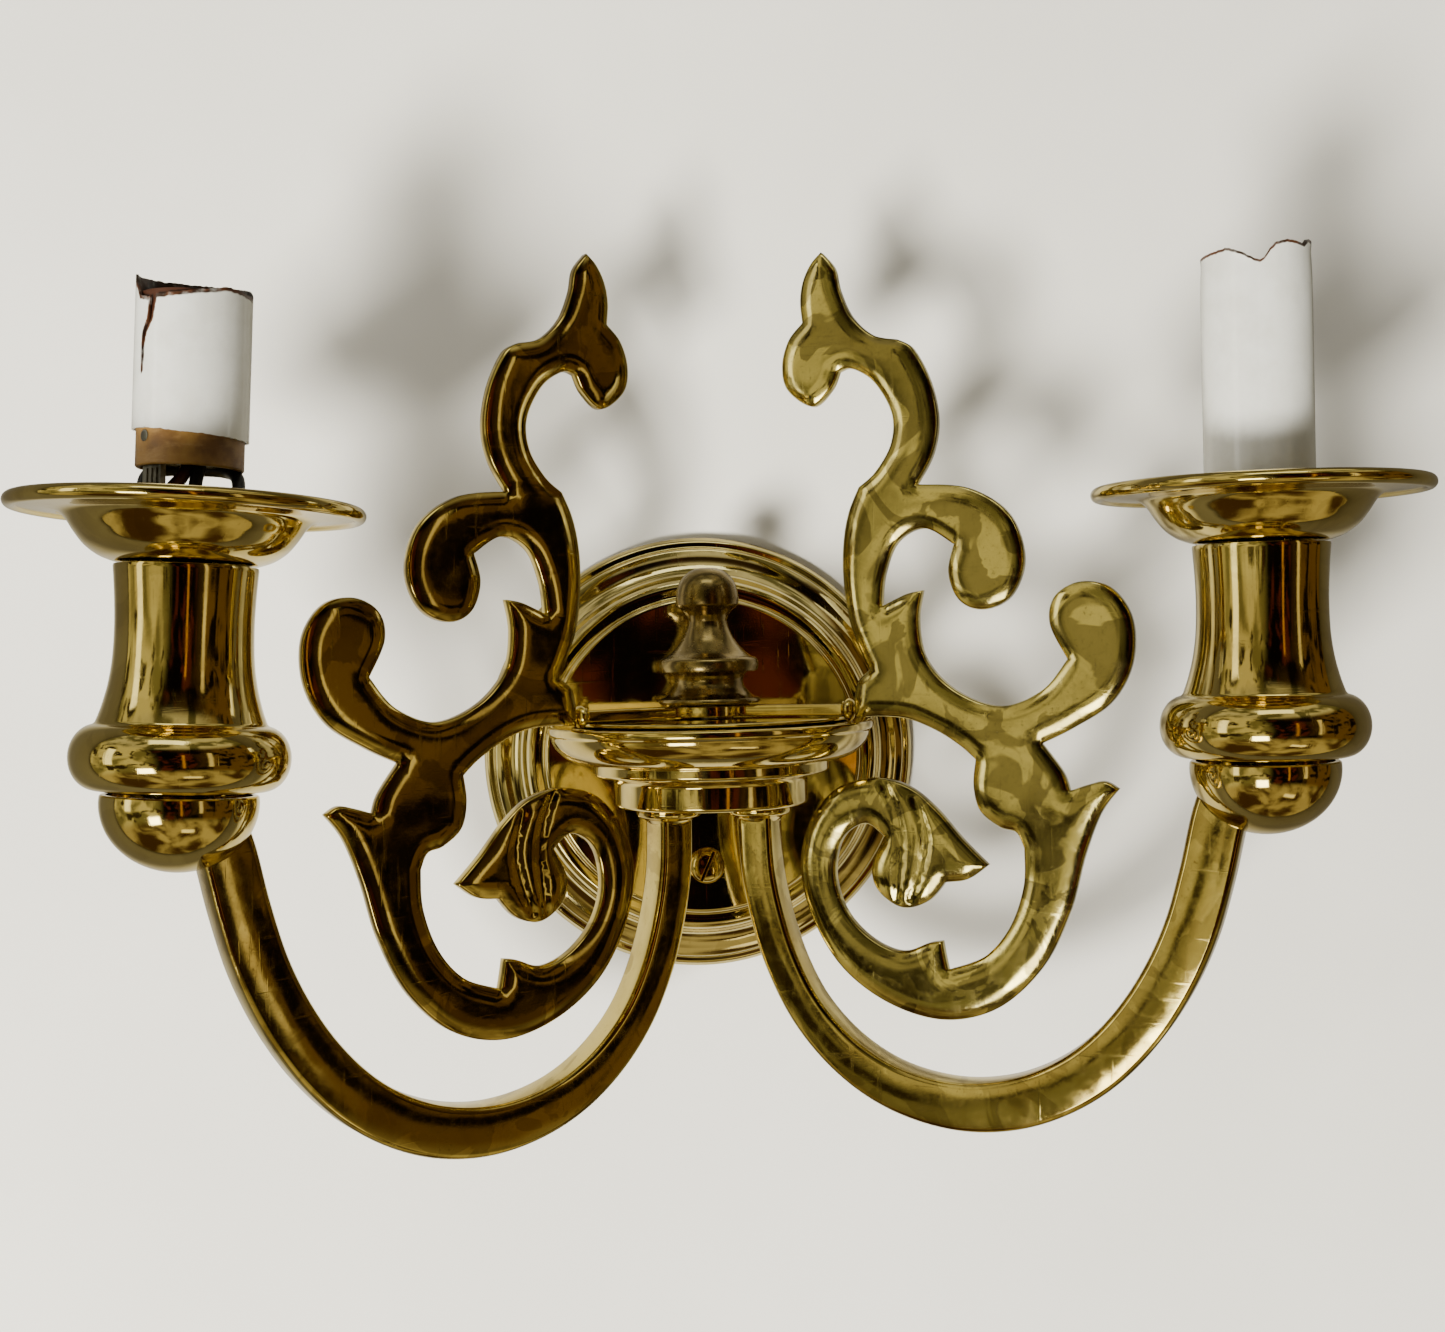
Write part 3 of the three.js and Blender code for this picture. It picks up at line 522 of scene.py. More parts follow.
def make_strap():
    """Hub under the finial with a bar, ball collar and pin out to each scroll."""
    hub = softened([(2.3, 10.7), (9.7, 10.7), (9.7, 13.3), (2.3, 13.3)], 0.35)
    strap = turned("strap", hub, axis_place(), 64)
    collar = [(0, 33.4), (1.9, 33.4)] + arc(0.6, 34.8, 2, 1.35, -60, 60, 10)
    collar += [(0.8, 36.1), (0.8, 41), (0, 41)]
    for side in SIDES:
        place = axis_place(0, side)
        lying = place @ Matrix.Translation((0, 0, STRAP_LEVEL)) @ Matrix.Rotation(math.pi / 2, 4, "Y")
        boolean(strap, rounded_box("bar", (26, 2.6, 2.6), (21, 0, STRAP_LEVEL), place, 0.35), "UNION")
        boolean(strap, turned("collar", collar, lying, 32), "UNION")
    finish_piece(strap, "turned", "scroll_strap")


def make_finial():
    """Urn finial: round foot, waist, thick disc, tall flare and dome."""
    profile = (
        [(0, 34.5), (2.3, 34.5), (2.3, 13.6)]
        + softened([(9.7, 13.6), (11.7, 13.7), (12.1, 14.2), (11.8, 14.9), (10.6, 15.2)], 0.2)
        + smooth_line([(9.6, 16.0), (8.5, 17.4), (8.0, 18.8), (8.4, 20.2), (9.2, 21.0)])
        + [(10.8, 21.1), (11.5, 21.3)]
        + smooth_line([(11.7, 22.0), (11.75, 22.9), (11.5, 23.9), (10.9, 24.4)], 4)
        + smooth_line([(10.2, 24.6), (8.6, 25.8), (6.4, 28.4), (5.0, 31.2), (4.5, 33.0)])
        + smooth_line([(4.9, 34.3), (5.8, 35.5), (7.0, 36.4)], 4)
        + smooth_line([(7.35, 36.9), (7.4, 38.6), (6.7, 41.8), (5.0, 44.1), (2.6, 45.4), (0, 45.6)])
    )
    finial = turned("urn", profile, axis_place(), 96, 28)
    finish_piece(finial, "dulled", "finial")


# ---- arms ----

ARM_LINE = [
    (ARM_ROOT, -11), (12.5, -24), (14.5, -35), (18, -46), (23.5, -56.5), (31, -65), (40, -71.3),
    (50, -75), (61, -76.3), (72, -74.8), (82, -70.8), (91, -64.6), (99, -56), (105.5, -46),
    (110.5, -35), (114, -23), (116.5, -12), (118.5, -6)]
ARM_STEP = 1.6
ARM_CORNER = 1.3
ARM_HALF_DEPTH = 4.25
ARM_WIDTHS = (8.3, 11.1)


def smoothstep(value, low, high):
    t = min(max((value - low) / (high - low), 0), 1)
    return t * t * (3 - 2 * t)


def arm_shape(extra=0.0):
    """The squared arm, extra larger all round: a rounded bar carried along its line."""
    line = evenly(smooth_line(ARM_LINE, 24), ARM_STEP)
    slope = np.gradient(line, axis=0)
    slope /= np.linalg.norm(slope, axis=1)[:, None]
    depth = ARM_HALF_DEPTH + extra
    thin, thick = ARM_WIDTHS
    verts, rings = [], []
    for i, (point, along) in enumerate(zip(line, slope)):
        half = (thin + (thick - thin) * smoothstep(i / (len(line) - 1), 0.2, 0.55)) / 2 + extra
        across = np.array([-along[1], along[0]])
        ring = []
        for sx, sy in ((1, 1), (-1, 1), (-1, -1), (1, -1)):
            turns = [(0, 1), (0.38, 0.92), (0.71, 0.71), (0.92, 0.38), (1, 0)]
            for a, b in turns if sx * sy < 0 else turns[::-1]:
                u = sx * (half - ARM_CORNER + ARM_CORNER * a)
                w = sy * (depth - ARM_CORNER + ARM_CORNER * b)
                spot = point + across * u
                ring.append(len(verts))
                verts.append((spot[0], w, spot[1]))
        rings.append(ring)
    return verts, [rings[0], rings[-1][::-1]] + bands(rings)


def make_arm(side):
    """Bent arm with its collar under the body and its boss under the cup."""
    arm = build(f"arm_{side}_bar", *arm_shape(), axis_place(0, side), 25)
    seat = BODY_FLOOR - GAP
    collar = [(0, seat - 3.4), (4.6, seat - 3.3), (5.6, seat - 2.3), (7.2, seat - 1.6), (7.5, seat - 0.8)]
    collar = softened([*collar, (7.2, seat)], 0.3) + [(4, seat), (4, -4.2), (0, -4.2)]
    boolean(arm, turned("collar", collar, axis_place(ARM_ROOT, side), 48), "UNION")
    boolean(arm, rod(7, -8.5, 1.1, cup_place(side)), "UNION")
    boolean(arm, rod(5, -3, 5, cup_place(side)))
    shade(arm, 25)
    finish_piece(arm, "arm", f"arm_{side}")


# ---- scrolls ----

SCROLL_RUNS = [
    [(30.8, 116.2), (28.3, 113.8), (26.3, 110), (25.5, 105.5), (25.9, 100.6)],
    [(25.9, 100.6), (22.4, 96.8), (20.7, 91), (22, 85.4), (27.8, 81.4), (32.4, 84.8), (34.4, 88.8)],
    [(34.4, 88.8), (37.4, 89.3), (42.8, 85.8), (46.8, 78.5), (46.4, 71.6), (42.6, 65.6), (38.6, 62.4)],
    [(38.6, 62.4), (36, 56.6), (34.6, 49.5), (34.5, 41), (35.8, 32), (38.4, 25), (40.2, 21)],
    [(40.2, 21), (37.4, 18.4), (36.4, 14.6)],
    [(36.4, 14.6), (36.4, 10.1)],
    [(36.4, 10.1), (43, 10.4), (49.5, 9.7), (55.8, 7.1), (61, 3.8), (64.4, 0.8)],
    [(64.4, 0.8), (63.8, -5), (65.2, -10.6), (69.6, -14.1), (73.2, -15.2), (74.9, -18.6)],
    [(74.9, -18.6), (74.6, -27), (71.3, -36.2), (65.4, -43), (57, -46.4)],
    [(57, -46.4), (56.3, -43), (55.8, -40)],
    [(55.8, -40), (52.6, -40.6), (46.4, -42.7), (39.4, -40.2), (33.4, -34.2), (30.8, -26),
     (32.6, -17.6), (38.4, -13.9), (43, -17)],
    [(43, -17), (39.8, -23.4), (41, -29), (46.6, -32.7), (52.6, -31.2), (56.8, -26.7)],
    [(56.8, -26.7), (62, -25.9), (66.7, -22.6)],
    [(66.7, -22.6), (61, -17), (55, -10.2), (48.6, -5.3), (40.6, -3.5), (31.6, -6), (25, -13.6),
     (22.4, -24), (25, -35.8), (32, -47), (43, -54.6), (56, -57.6), (68.4, -54.2), (78.4, -44.8),
     (84.6, -32.6), (88.2, -20), (91.8, -10.8), (95.8, -5.4)],
    [(95.8, -5.4), (92.8, -3.8), (89, -4.6), (85.2, -5.9)],
    [(85.2, -5.9), (83.7, -1.8), (79.2, 4.3)],
    [(79.2, 4.3), (86.2, 7.7), (94.6, 13.2), (99.2, 21.4), (99.4, 31), (95, 37.8), (88.4, 39.4),
     (82.8, 36.4), (81.6, 30.4), (85.3, 22.7)],
    [(85.3, 22.7), (79.6, 16), (70.4, 12.6), (60.4, 16), (53.6, 23), (51.9, 31.4), (53, 38.6)],
    [(53, 38.6), (49, 37.8), (43.3, 35.2)],
    [(43.3, 35.2), (44.2, 42.4), (47.4, 49.6), (53.8, 52.4), (60.5, 48.6)],
    [(60.5, 48.6), (59.1, 42.4), (61.4, 36.2), (66.8, 33.9), (73.2, 36.8), (76.2, 45),
     (73, 54.8), (64, 60.9), (52.2, 62.3)],
    [(52.2, 62.3), (56, 68.8), (57.4, 76.4), (55.8, 85), (52, 92.6), (48.6, 94.9)],
    [(48.6, 94.9), (42.8, 96.4), (37.8, 101), (35, 107.2), (33.8, 112.4), (30.8, 116.2)]]
SCROLL_HALF = 2.1
EDGE_STEP, GRID_STEP, GRID_MARGIN = 0.7, 1.1, 4.4
CELL, RIM_ROOM, INNER_ROOM = 0.5, 0.1, 0.42
PILLOW_DEPTH, PILLOW_WIDTH = 0.8, 4.2
CORNER_DEPTH, CORNER_WIDTH = 0.35, 0.45
GROOVE_DEPTH, GROOVE_WIDTH, GROOVE_MARGIN = 0.5, 1.1, 1.5
LEAF_GROOVES = [
    [(42.5, -3.5), (45.6, -10.5), (46.8, -19), (45.6, -31.5)],
    [(50.5, -8.5), (52.8, -16.5), (51.2, -25), (48.8, -30.5)]]


def distance_to(line, spots):
    """How far each spot is from a line, both in the flat plane."""
    nearest = np.full(len(spots), np.inf)
    for start, way in zip(line, np.diff(line, axis=0)):
        t = np.clip(((spots - start) @ way) / max((way**2).sum(), 1e-12), 0, 1)
        nearest = np.minimum(nearest, np.linalg.norm(spots - start - t[:, None] * way, axis=1))
    return nearest


def scroll_drop(edge, spots):
    """How far the worked face lies below the flat, by distance from the edge and the leaf's grooves."""
    pillow = PILLOW_DEPTH * np.clip(1 - edge / PILLOW_WIDTH, 0, 1) ** 2
    corner = np.clip(1 - edge / CORNER_WIDTH, 0, 1)
    drop = pillow + CORNER_DEPTH * (1 - np.sqrt(1 - corner**2))
    for groove in LEAF_GROOVES:
        away = distance_to(evenly(smooth_line(groove, 8), 0.6), spots)
        shallower = np.clip(edge / GROOVE_MARGIN, 0, 1)
        drop = drop + GROOVE_DEPTH * np.exp(-((away / GROOVE_WIDTH) ** 2)) * shallower
    return drop


def scroll_points():
    """The plate's edge, rings of points inside it and a grid over what is left, thinned evenly."""
    outline = np.concatenate([evenly(smooth_line(run, 16), EDGE_STEP)[:-1] for run in SCROLL_RUNS])
    rim = len(outline)
    closed = np.concatenate([outline, outline[:1]])
    ahead = np.roll(outline, -1, axis=0) - np.roll(outline, 1, axis=0)
    ahead /= np.linalg.norm(ahead, axis=1)[:, None]
    area = np.sum(outline[:, 0] * np.roll(outline[:, 1], -1) - np.roll(outline[:, 0], -1) * outline[:, 1])
    inward = np.stack([-ahead[:, 1], ahead[:, 0]], axis=1) * np.sign(area)
    picked = [outline]
    for off in (0.15, 0.32, 0.5, 0.85, 1.3, 1.8, 2.4, 3.1, 3.9):
        ring = outline + inward * off
        picked.append(ring[distance_to(closed, ring) > off * 0.93])
    low, high = outline.min(axis=0), outline.max(axis=0)
    columns, rows = (np.arange(low[k], high[k], GRID_STEP) for k in (0, 1))
    grid = np.stack(np.meshgrid(columns, rows), -1).reshape(-1, 2)
    grid = grid + 0.25 * np.sin(grid[:, ::-1] * 7.3)
    picked.append(grid[(distance_to(closed, grid) > GRID_MARGIN) & inside(outline, grid)])
    spots = np.concatenate(picked)
    cells, chosen = {}, []
    for i, spot in enumerate(spots):
        cell = tuple((spot // CELL).astype(int))
        near = [cells.get((cell[0] + dx, cell[1] + dy), []) for dx in (-1, 0, 1) for dy in (-1, 0, 1)]
        room = RIM_ROOM if i < rim * 4 else INNER_ROOM
        if i >= rim and any(np.hypot(*(spot - spots[k])) < room for group in near for k in group):
            continue
        chosen.append(i)
        cells.setdefault(cell, []).append(i)
    spots = spots[chosen]
    return spots, rim, distance_to(closed, spots)


def inside(outline, spots):
    """True for spots inside a closed outline."""
    hits = np.zeros(len(spots), bool)
    for a, b in zip(outline, np.roll(outline, -1, axis=0)):
        if a[1] == b[1]:
            continue
        crosses = (spots[:, 1] < a[1]) != (spots[:, 1] < b[1])
        hits ^= crosses & (spots[:, 0] < a[0] + (spots[:, 1] - a[1]) / (b[1] - a[1]) * (b[0] - a[0]))
    return hits


def scroll_shape():
    """The openwork plate, worked in low relief on both faces."""
    spots, rim, edge = scroll_points()
    drop = SCROLL_HALF - scroll_drop(edge, spots)
    flat = [Vector(s) for s in spots]
    made = delaunay_2d_cdt(flat, [], [list(range(rim))], 1, 1e-5)
    points, triangles, origin = made[0], made[2], made[3]
    height = [drop[o[0]] if o else SCROLL_HALF for o in origin]
    count = len(points)
    verts = [(p.x, h, p.y) for p, h in zip(points, height)]
    verts += [(p.x, -h, p.y) for p, h in zip(points, height)]
    faces = [list(t) for t in triangles] + [[i + count for i in reversed(t)] for t in triangles]
    where = {o[0]: i for i, o in enumerate(origin) if o and o[0] < rim}
    for i in range(rim):
        a, b = where[i], where[(i + 1) % rim]
        faces.append([a, b, b + count, a + count])
    return verts, faces


def make_scroll(side, shape):
    """One side's scroll; the other side's has the same shape. Each side's brass has its own tint: painted
    shade on the left, a painted reflection on the right.
    """
    scroll = build(f"scroll_{side}_plate", *shape, axis_place(0, side), 40)
    finish_piece(scroll, f"{side} scroll", f"scroll_{side}")


# ---- candle cup stack ----


def make_cup_ball(side):
    """Hollow ball under the cup, open where the arm comes in."""
    outer = arc(0, -0.6, 15.3, 13.8, -90, 0, 24)
    outer[0] = (0, outer[0][1])
    inner = arc(0, -0.6, 14, 12.6, 0, -90, 12)
    inner[-1] = (0, inner[-1][1])
    lip = [(15.2, 0.6), (14.9, 0.9), (14, 0.9)]
    ball = turned(f"ball_{side}", outer + lip + inner, cup_place(side))
    boolean(ball, build("arm_space", *arm_shape(0.25), axis_place(0, side)))
    shade(ball, 30)
    finish_piece(ball, "turned", f"cup_ball_{side}")


def make_candle_cup(side):
    """Turned cup, hollow: a bulging foot, then a waisted wall up to its lip."""
    profile = softened([(5, 1.4), (14.2, 1.4), (15.4, 1.7)], 0.2)
    profile += arc(15.9, 8.2, 5.3, 6.5, -80, 80, 24)
    profile += [(16.6, 14.75)]
    profile += smooth_line(
        [(16.3, 15.1), (15.3, 18), (14.2, 22.4), (13.5, 27.6), (13.3, 34), (13.5, 40), (13.9, 45.5)])
    profile += [(13.8, 45.9), (12.6, 46), (12.4, 45.6)]
    profile += smooth_line([(12.2, 34), (12.4, 26.6), (13.6, 19.8), (15.4, 14.2)], 4)
    profile += arc(15.6, 8.2, 4.4, 5.4, 60, -60, 10)
    profile += [(14.6, 2.6), (5, 2.6)]
    cup = turned(f"cup_{side}", profile, cup_place(side), 96, 28)
    finish_piece(cup, "turned", f"candle_cup_{side}")


def make_drip_pan(side):
    """Spun pan: small foot, round bowl, shoulder, flat flange and rolled lip."""
    profile = [(5, 46.3), (13.4, 46.3)]
    profile += smooth_line(
        [(14.2, 46.5), (16.8, 47.5), (19.4, 49.4), (21.4, 51.9), (23, 54.3), (24.6, 55.6), (27.6, 56)])
    profile += arc(33, 57.2, 1.5, 1.5, -140, 140, 18)
    profile += smooth_line(
        [(27, 57.1), (24, 56.6), (22.2, 55.2), (20.6, 52.8), (18.4, 50.4), (15.4, 48.3), (13.8, 47.5)])
    profile += [(5, 47.4)]
    pan = turned(f"pan_{side}", profile, cup_place(side), 128, 30)
    finish_piece(pan, "turned", f"drip_pan_{side}")


# ---- lampholders and sleeves ----


def make_liner(side):
    """Fibre tube round the lampholder, with the hole of its rivet."""
    profile = softened([(9.4, 65), (10.2, 65), (LINER_RADIUS, 65.3), (LINER_RADIUS, 99), (9.4, 99)], 0.15)
    liner = turned(f"liner_tube_{side}", profile, cup_place(side), 64)
    turn = Matrix.Rotation(LEG_TURN if side == "left" else -LEG_TURN, 4, "Z")
    across = turn @ Matrix.Translation((0, 0, RIVET_LEVEL)) @ Matrix.Rotation(math.pi / 2, 4, "Y")
    boolean(liner, rod(0.95, 5, 15, cup_place(side) @ across, 20))
    finish_piece(liner, "fibre", f"liner_{side}")


def make_socket(side):
    """Moulded lampholder body and the screw shell in it, which follows a lamp's thread."""
    place = cup_place(side)
    profile = softened([(0, 66), (6.4, 66), (7, 66.8), (7, 97.5), (6.6, 98), (6.4, 97.7)], 0.2)
    socket = turned(f"holder_{side}", profile + [(6.4, 73), (0, 73)], place, 64)
    finish_piece(socket, "phenolic", f"socket_body_{side}")
    outer, inner = [], []
    steps, steps_a_turn, depth = 60, 8, 0.12
    for i in range(steps + 1):
        z = 76 + 21 * i / steps
        wave = depth * math.cos(2 * math.pi * i / steps_a_turn)
        outer.append((5.98 + wave, z))
        inner.append((5.82 + wave, z))
    shell = turned(f"shell_{side}", outer + inner[::-1], place, 48, 60)
    finish_piece(shell, "worn", f"screw_shell_{side}")


def rim_height(chips, angle):
    """Height of a broken rim at an angle in degrees, from chips given as (angle, height)."""
    turn = angle % 360
    spots = [(chips[-1][0] - 360, chips[-1][1]), *chips, (chips[0][0] + 360, chips[0][1])]
    return float(np.interp(turn, [a for a, _ in spots], [z for _, z in spots]))


def sleeve_place(side):
    """Frame of a sleeve, its angles counted from the room side."""
    return cup_place(side) @ Matrix.Rotation(-SIDES[side], 4, "Z")


# depth of the ragged edge, reach of a melted rim's curl and of its waist, stain inside, scorch
RAGGED, CURL_REACH, WAIST_REACH, INNER_STAIN, SCORCH_FADE = 0.3, 0.7, 5, 7, 0.25


def sleeve(side, low_chips, high_chips, melt, burn_depth):
    """A candle sleeve with broken, stained rims; angles run from the room side towards +X."""
    count, levels = 240, 60
    verts, stains = [], []
    for wall, skin in enumerate((SLEEVE_RADIUS, SLEEVE_BORE)):
        for level in range(levels + 1):
            for i in range(count):
                turn = 360 * i / count
                a = math.radians(turn)
                jag = abs(RAGGED * noise.noise((math.cos(a) * 9, math.sin(a) * 9, side == "left")))
                low = rim_height(low_chips, turn) + jag
                high = rim_height(high_chips, turn) - jag
                z = low + (high - low) * (level / levels) ** 0.7
                up = high - z
                curl = math.exp(-((up / CURL_REACH) ** 2)) * (0.7 + 0.3 * math.sin(turn / 7))
                waist = 0.5 * math.exp(-((up / WAIST_REACH) ** 2))
                radius = skin + melt * (curl * (-0.6 if wall else 0.45) - waist)
                radius = min(radius, SLEEVE_RADIUS - 0.001)
                verts.append((radius * math.sin(a), -radius * math.cos(a), z))
                stains.append(max(0, 1 - up / (INNER_STAIN if wall else burn_depth)))
    size = (levels + 1) * count
    faces = []
    for level in range(levels):
        for i in range(count):
            j = (i + 1) % count
            here, above = level * count, (level + 1) * count
            a, b, c, d = here + i, here + j, above + j, above + i
            faces += [[a, b, c, d], [size + d, size + c, size + b, size + a]]
    top = levels * count
    for i in range(count):
        j = (i + 1) % count
        faces += [[j, i, size + i, size + j], [top + i, top + j, size + top + j, size + top + i]]
    made = build(f"sleeve_{side}", verts, faces, sleeve_place(side), 50)
    layer = made.data.attributes.new("burn", "FLOAT", "POINT")
    layer.data.foreach_set("value", stains)
    return made


def crack_blade(side, path, start, finish):
    """A thin wedge that follows a crack given as (angle, height), wide at its start."""
    verts, faces = [], []
    for i, (turn, z) in enumerate(path):
        width = start + (finish - start) * i / (len(path) - 1)
        for radius in (9.5, 12.5):
            for across in (-width / 2, width / 2):
                a = math.radians(turn) + across / SLEEVE_RADIUS
                verts.append((radius * math.sin(a), -radius * math.cos(a), z))
    for i in range(len(path) - 1):
        k, n = 4 * i, 4 * i + 4
        faces += [[k + a, k + b, n + b, n + a] for a, b in ((0, 1), (1, 3), (3, 2), (2, 0))]
    last = 4 * (len(path) - 1)
    faces += [[0, 2, 3, 1], [last, last + 1, last + 3, last + 2]]
    return build("crack", verts, faces, sleeve_place(side))


def scorch(made, side, path, start, finish):
    """Browns the walls and the lips of a crack."""
    back = sleeve_place(side).inverted()
    line = np.array([(math.radians(turn - 360) * SLEEVE_RADIUS, z) for turn, z in path])
    levels = line[:, 1]
    layer = made.data.attributes["burn"].data
    for vert, stain in zip(made.data.vertices, layer):
        x, y, z = back @ (vert.co / MM)
        spot = np.array([(math.atan2(x, -y) * SLEEVE_RADIUS, z)])
        half = np.interp(z, levels[::-1], np.linspace(finish, start, len(levels))) / 2
        away = distance_to(line, spot)[0]
        stain.value = max(stain.value, min(1, max(0, 1.3 - (away - half) / SCORCH_FADE)))


def make_sleeves():
    """The left sleeve is broken short and cracked, the right one melted round its rim."""
    low = [(0, 71.2), (70, 70.6), (180, 71.5), (250, 72.6), (320, 72)]
    high = [(0, 98.2), (16, 98.8), (32, 99.3), (44, 100), (60, 99.9), (76, 99.6), (90, 99.6), (104, 100.6),
            (120, 102.2), (150, 103.4), (180, 104), (210, 104), (240, 103.6), (270, 103), (284, 102.9),
            (291, 101), (299, 100.2), (306, 98), (320, 97.4), (338, 97.8)]
    crack = [(329, 105), (328.5, 98), (326.5, 95.5), (324.5, 93), (317, 90.5), (315, 88.5),
             (314.5, 86), (314, 83)]
    widths = (1.7, 0.2)
    left = sleeve("left", low, high, melt=0.0, burn_depth=0.9)
    boolean(left, crack_blade("left", crack, *widths))
    scorch(left, "left", crack, *widths)
    shade(left, 50)
    finish_piece(left, "sleeve", "candle_sleeve_left", "candle_left")
    low = [(0, 47.8), (180, 47.8)]
    high = [(0, 106.1), (13, 106.7), (28, 106.4), (38, 106.1), (49, 107.4), (62, 107.3), (76, 106.5),
            (96, 106), (150, 106), (210, 105.4), (270, 105.4), (290, 105.6), (308, 105.9), (325, 104.5),
            (338, 103), (343, 102.6), (348, 103.3), (355, 105.3)]
    right = sleeve("right", low, high, melt=0.5, burn_depth=0.2)
    finish_piece(right, "sleeve", "candle_sleeve_right", "candle_right")


LEAD_LOOPS = {
    "black": [(0.8, -0.6, 55), (-2.4, 0.4, 56.3), (-6.6, 1.4, 57.6), (-9.2, 1.6, 60.4), (-8.6, 2.6, 64.2),
              (-5.6, 6.2, 65.6), (0, 8.3, 66), (5.6, 6.2, 65.6), (8.9, 1.2, 64), (9.6, -1.4, 60.6),
              (7.6, -3.2, 57.4), (4.4, -4.2, 56.6), (2.2, -4.6, 58.6), (2, -4, 62), (2.4, -2.4, 65.7)],
    "red": [(-0.8, 0.6, 55), (-1.8, -0.6, 56.6), (-3.2, -3, 58.2), (-2.6, -4.6, 60.4), (-0.8, -4, 63),
            (0.2, -2.2, 65.7)],
    "right_black": [(1.05, 0, 55), (3.4, 0, 57), (5.8, -0.6, 59), (6.4, -0.6, 61.6), (5, 0, 65.7)],
    "right_red": [(-1.05, 0, 55), (-3.4, 0, 57), (-5.8, 0.6, 59), (-6.4, 0.6, 61.6), (-5, 0, 65.7)]}


def make_lead(side, tone, spread):
    """A lead through lamp tube, body and arm, then looped out and up into the lampholder."""
    front = 1 if side == "left" else -1
    towards = math.copysign(1, math.cos(SIDES[side]))
    turn = Matrix.Rotation(-SIDES[side], 4, "Z")
    level = spread * front * LEAD_SPREAD
    in_tube = [(1.1, WALL_TO_AXIS - 1.5, level), (1.1, 24, level), (1.3, 13, level)]
    in_tube.append((5.6, 5.5, level * 1.2 + 0.6))
    route = [turn @ Vector((towards * x, y, z)) for x, y, z in in_tube]
    offset = spread * LEAD_SPREAD
    in_arm = [(ARM_ROOT, -3), (ARM_ROOT, -9), *evenly(smooth_line(ARM_LINE, 12), 8)[1:-2]]
    in_arm += [(116.2, -16), (118.8, -10.4), (123, -6.6)]
    route += [Vector((r, offset, z)) for r, z in in_arm]
    to_side = axis_place(0, side).inverted() @ cup_place(side)
    for place in ((-0.6, offset, -2.4), (0, offset, 4), (0, offset, 24), (0, offset, 46)):
        route.append(to_side @ Vector(place))
    key = tone if side == "left" else f"right_{tone}"
    loops = [to_side @ turn @ Vector((x, y, z)) for x, y, z in LEAD_LOOPS[key]]
    hidden = smooth_line(route + loops[:2])[:-7]
    seen = smooth_line(loops, 8)
    swell = LEAD_SWELL if side == "left" else 0
    radii = [LEAD_RADIUS] * len(hidden)
    radii += [LEAD_RADIUS + swell * smoothstep(i, 0, 6) for i in range(len(seen))]
    shape = tube_shape(hidden + seen, radii, 14)
    lead = build(f"wire_{tone}_{side}", *shape, axis_place(0, side), 60)
    finish_piece(lead, tone, f"lead_{tone}_{side}")


def tube_shape(path, radii, count):
    """A round tube along a path, its section kept from twisting."""
    path = [Vector(p) for p in path]
    verts = []
    side = None
    for i, (spot, radius) in enumerate(zip(path, radii)):
        ahead = (path[min(i + 1, len(path) - 1)] - path[max(i - 1, 0)]).normalized()
        if side is None:
            side = ahead.orthogonal()
        side = (side - ahead * side.dot(ahead)).normalized()
        other = ahead.cross(side)
        for k in range(count):
            a = 2 * math.pi * k / count
            verts.append(tuple(spot + (side * math.cos(a) + other * math.sin(a)) * radius))
    rings = [list(range(start, start + count)) for start in range(0, len(verts), count)]
    return verts, bands(rings) + [rings[0][::-1], rings[-1]]


def dress_cad_nodes():
    """Inner and small pieces keep their CAD shapes, with eased edges and real finishes."""
    nodes = ["crossbar", "wall_tube", "crossbar_nut", "body_nut", "centre_rod", "rod_nut"]
    for word in ("arm_nut", "cup_tube", "pan_nut", "socket_bracket", "liner_rivet", "centre_contact"):
        nodes += [f"{word}_{side}" for side in SIDES]
    for node in nodes:
        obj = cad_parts[node]
        look = looks["worn" if node.startswith("centre_contact") else "steel"]
        for slot in obj.material_slots:
            slot.material = look
        if not obj.material_slots:
            obj.data.materials.append(look)
        modifier = obj.modifiers.new("ease", "BEVEL")
        modifier.width = 0.15 * MM
        modifier.segments = 2
        modifier.limit_method = "ANGLE"
        modifier.angle_limit = math.radians(40)


# ---- stage, light and camera ----


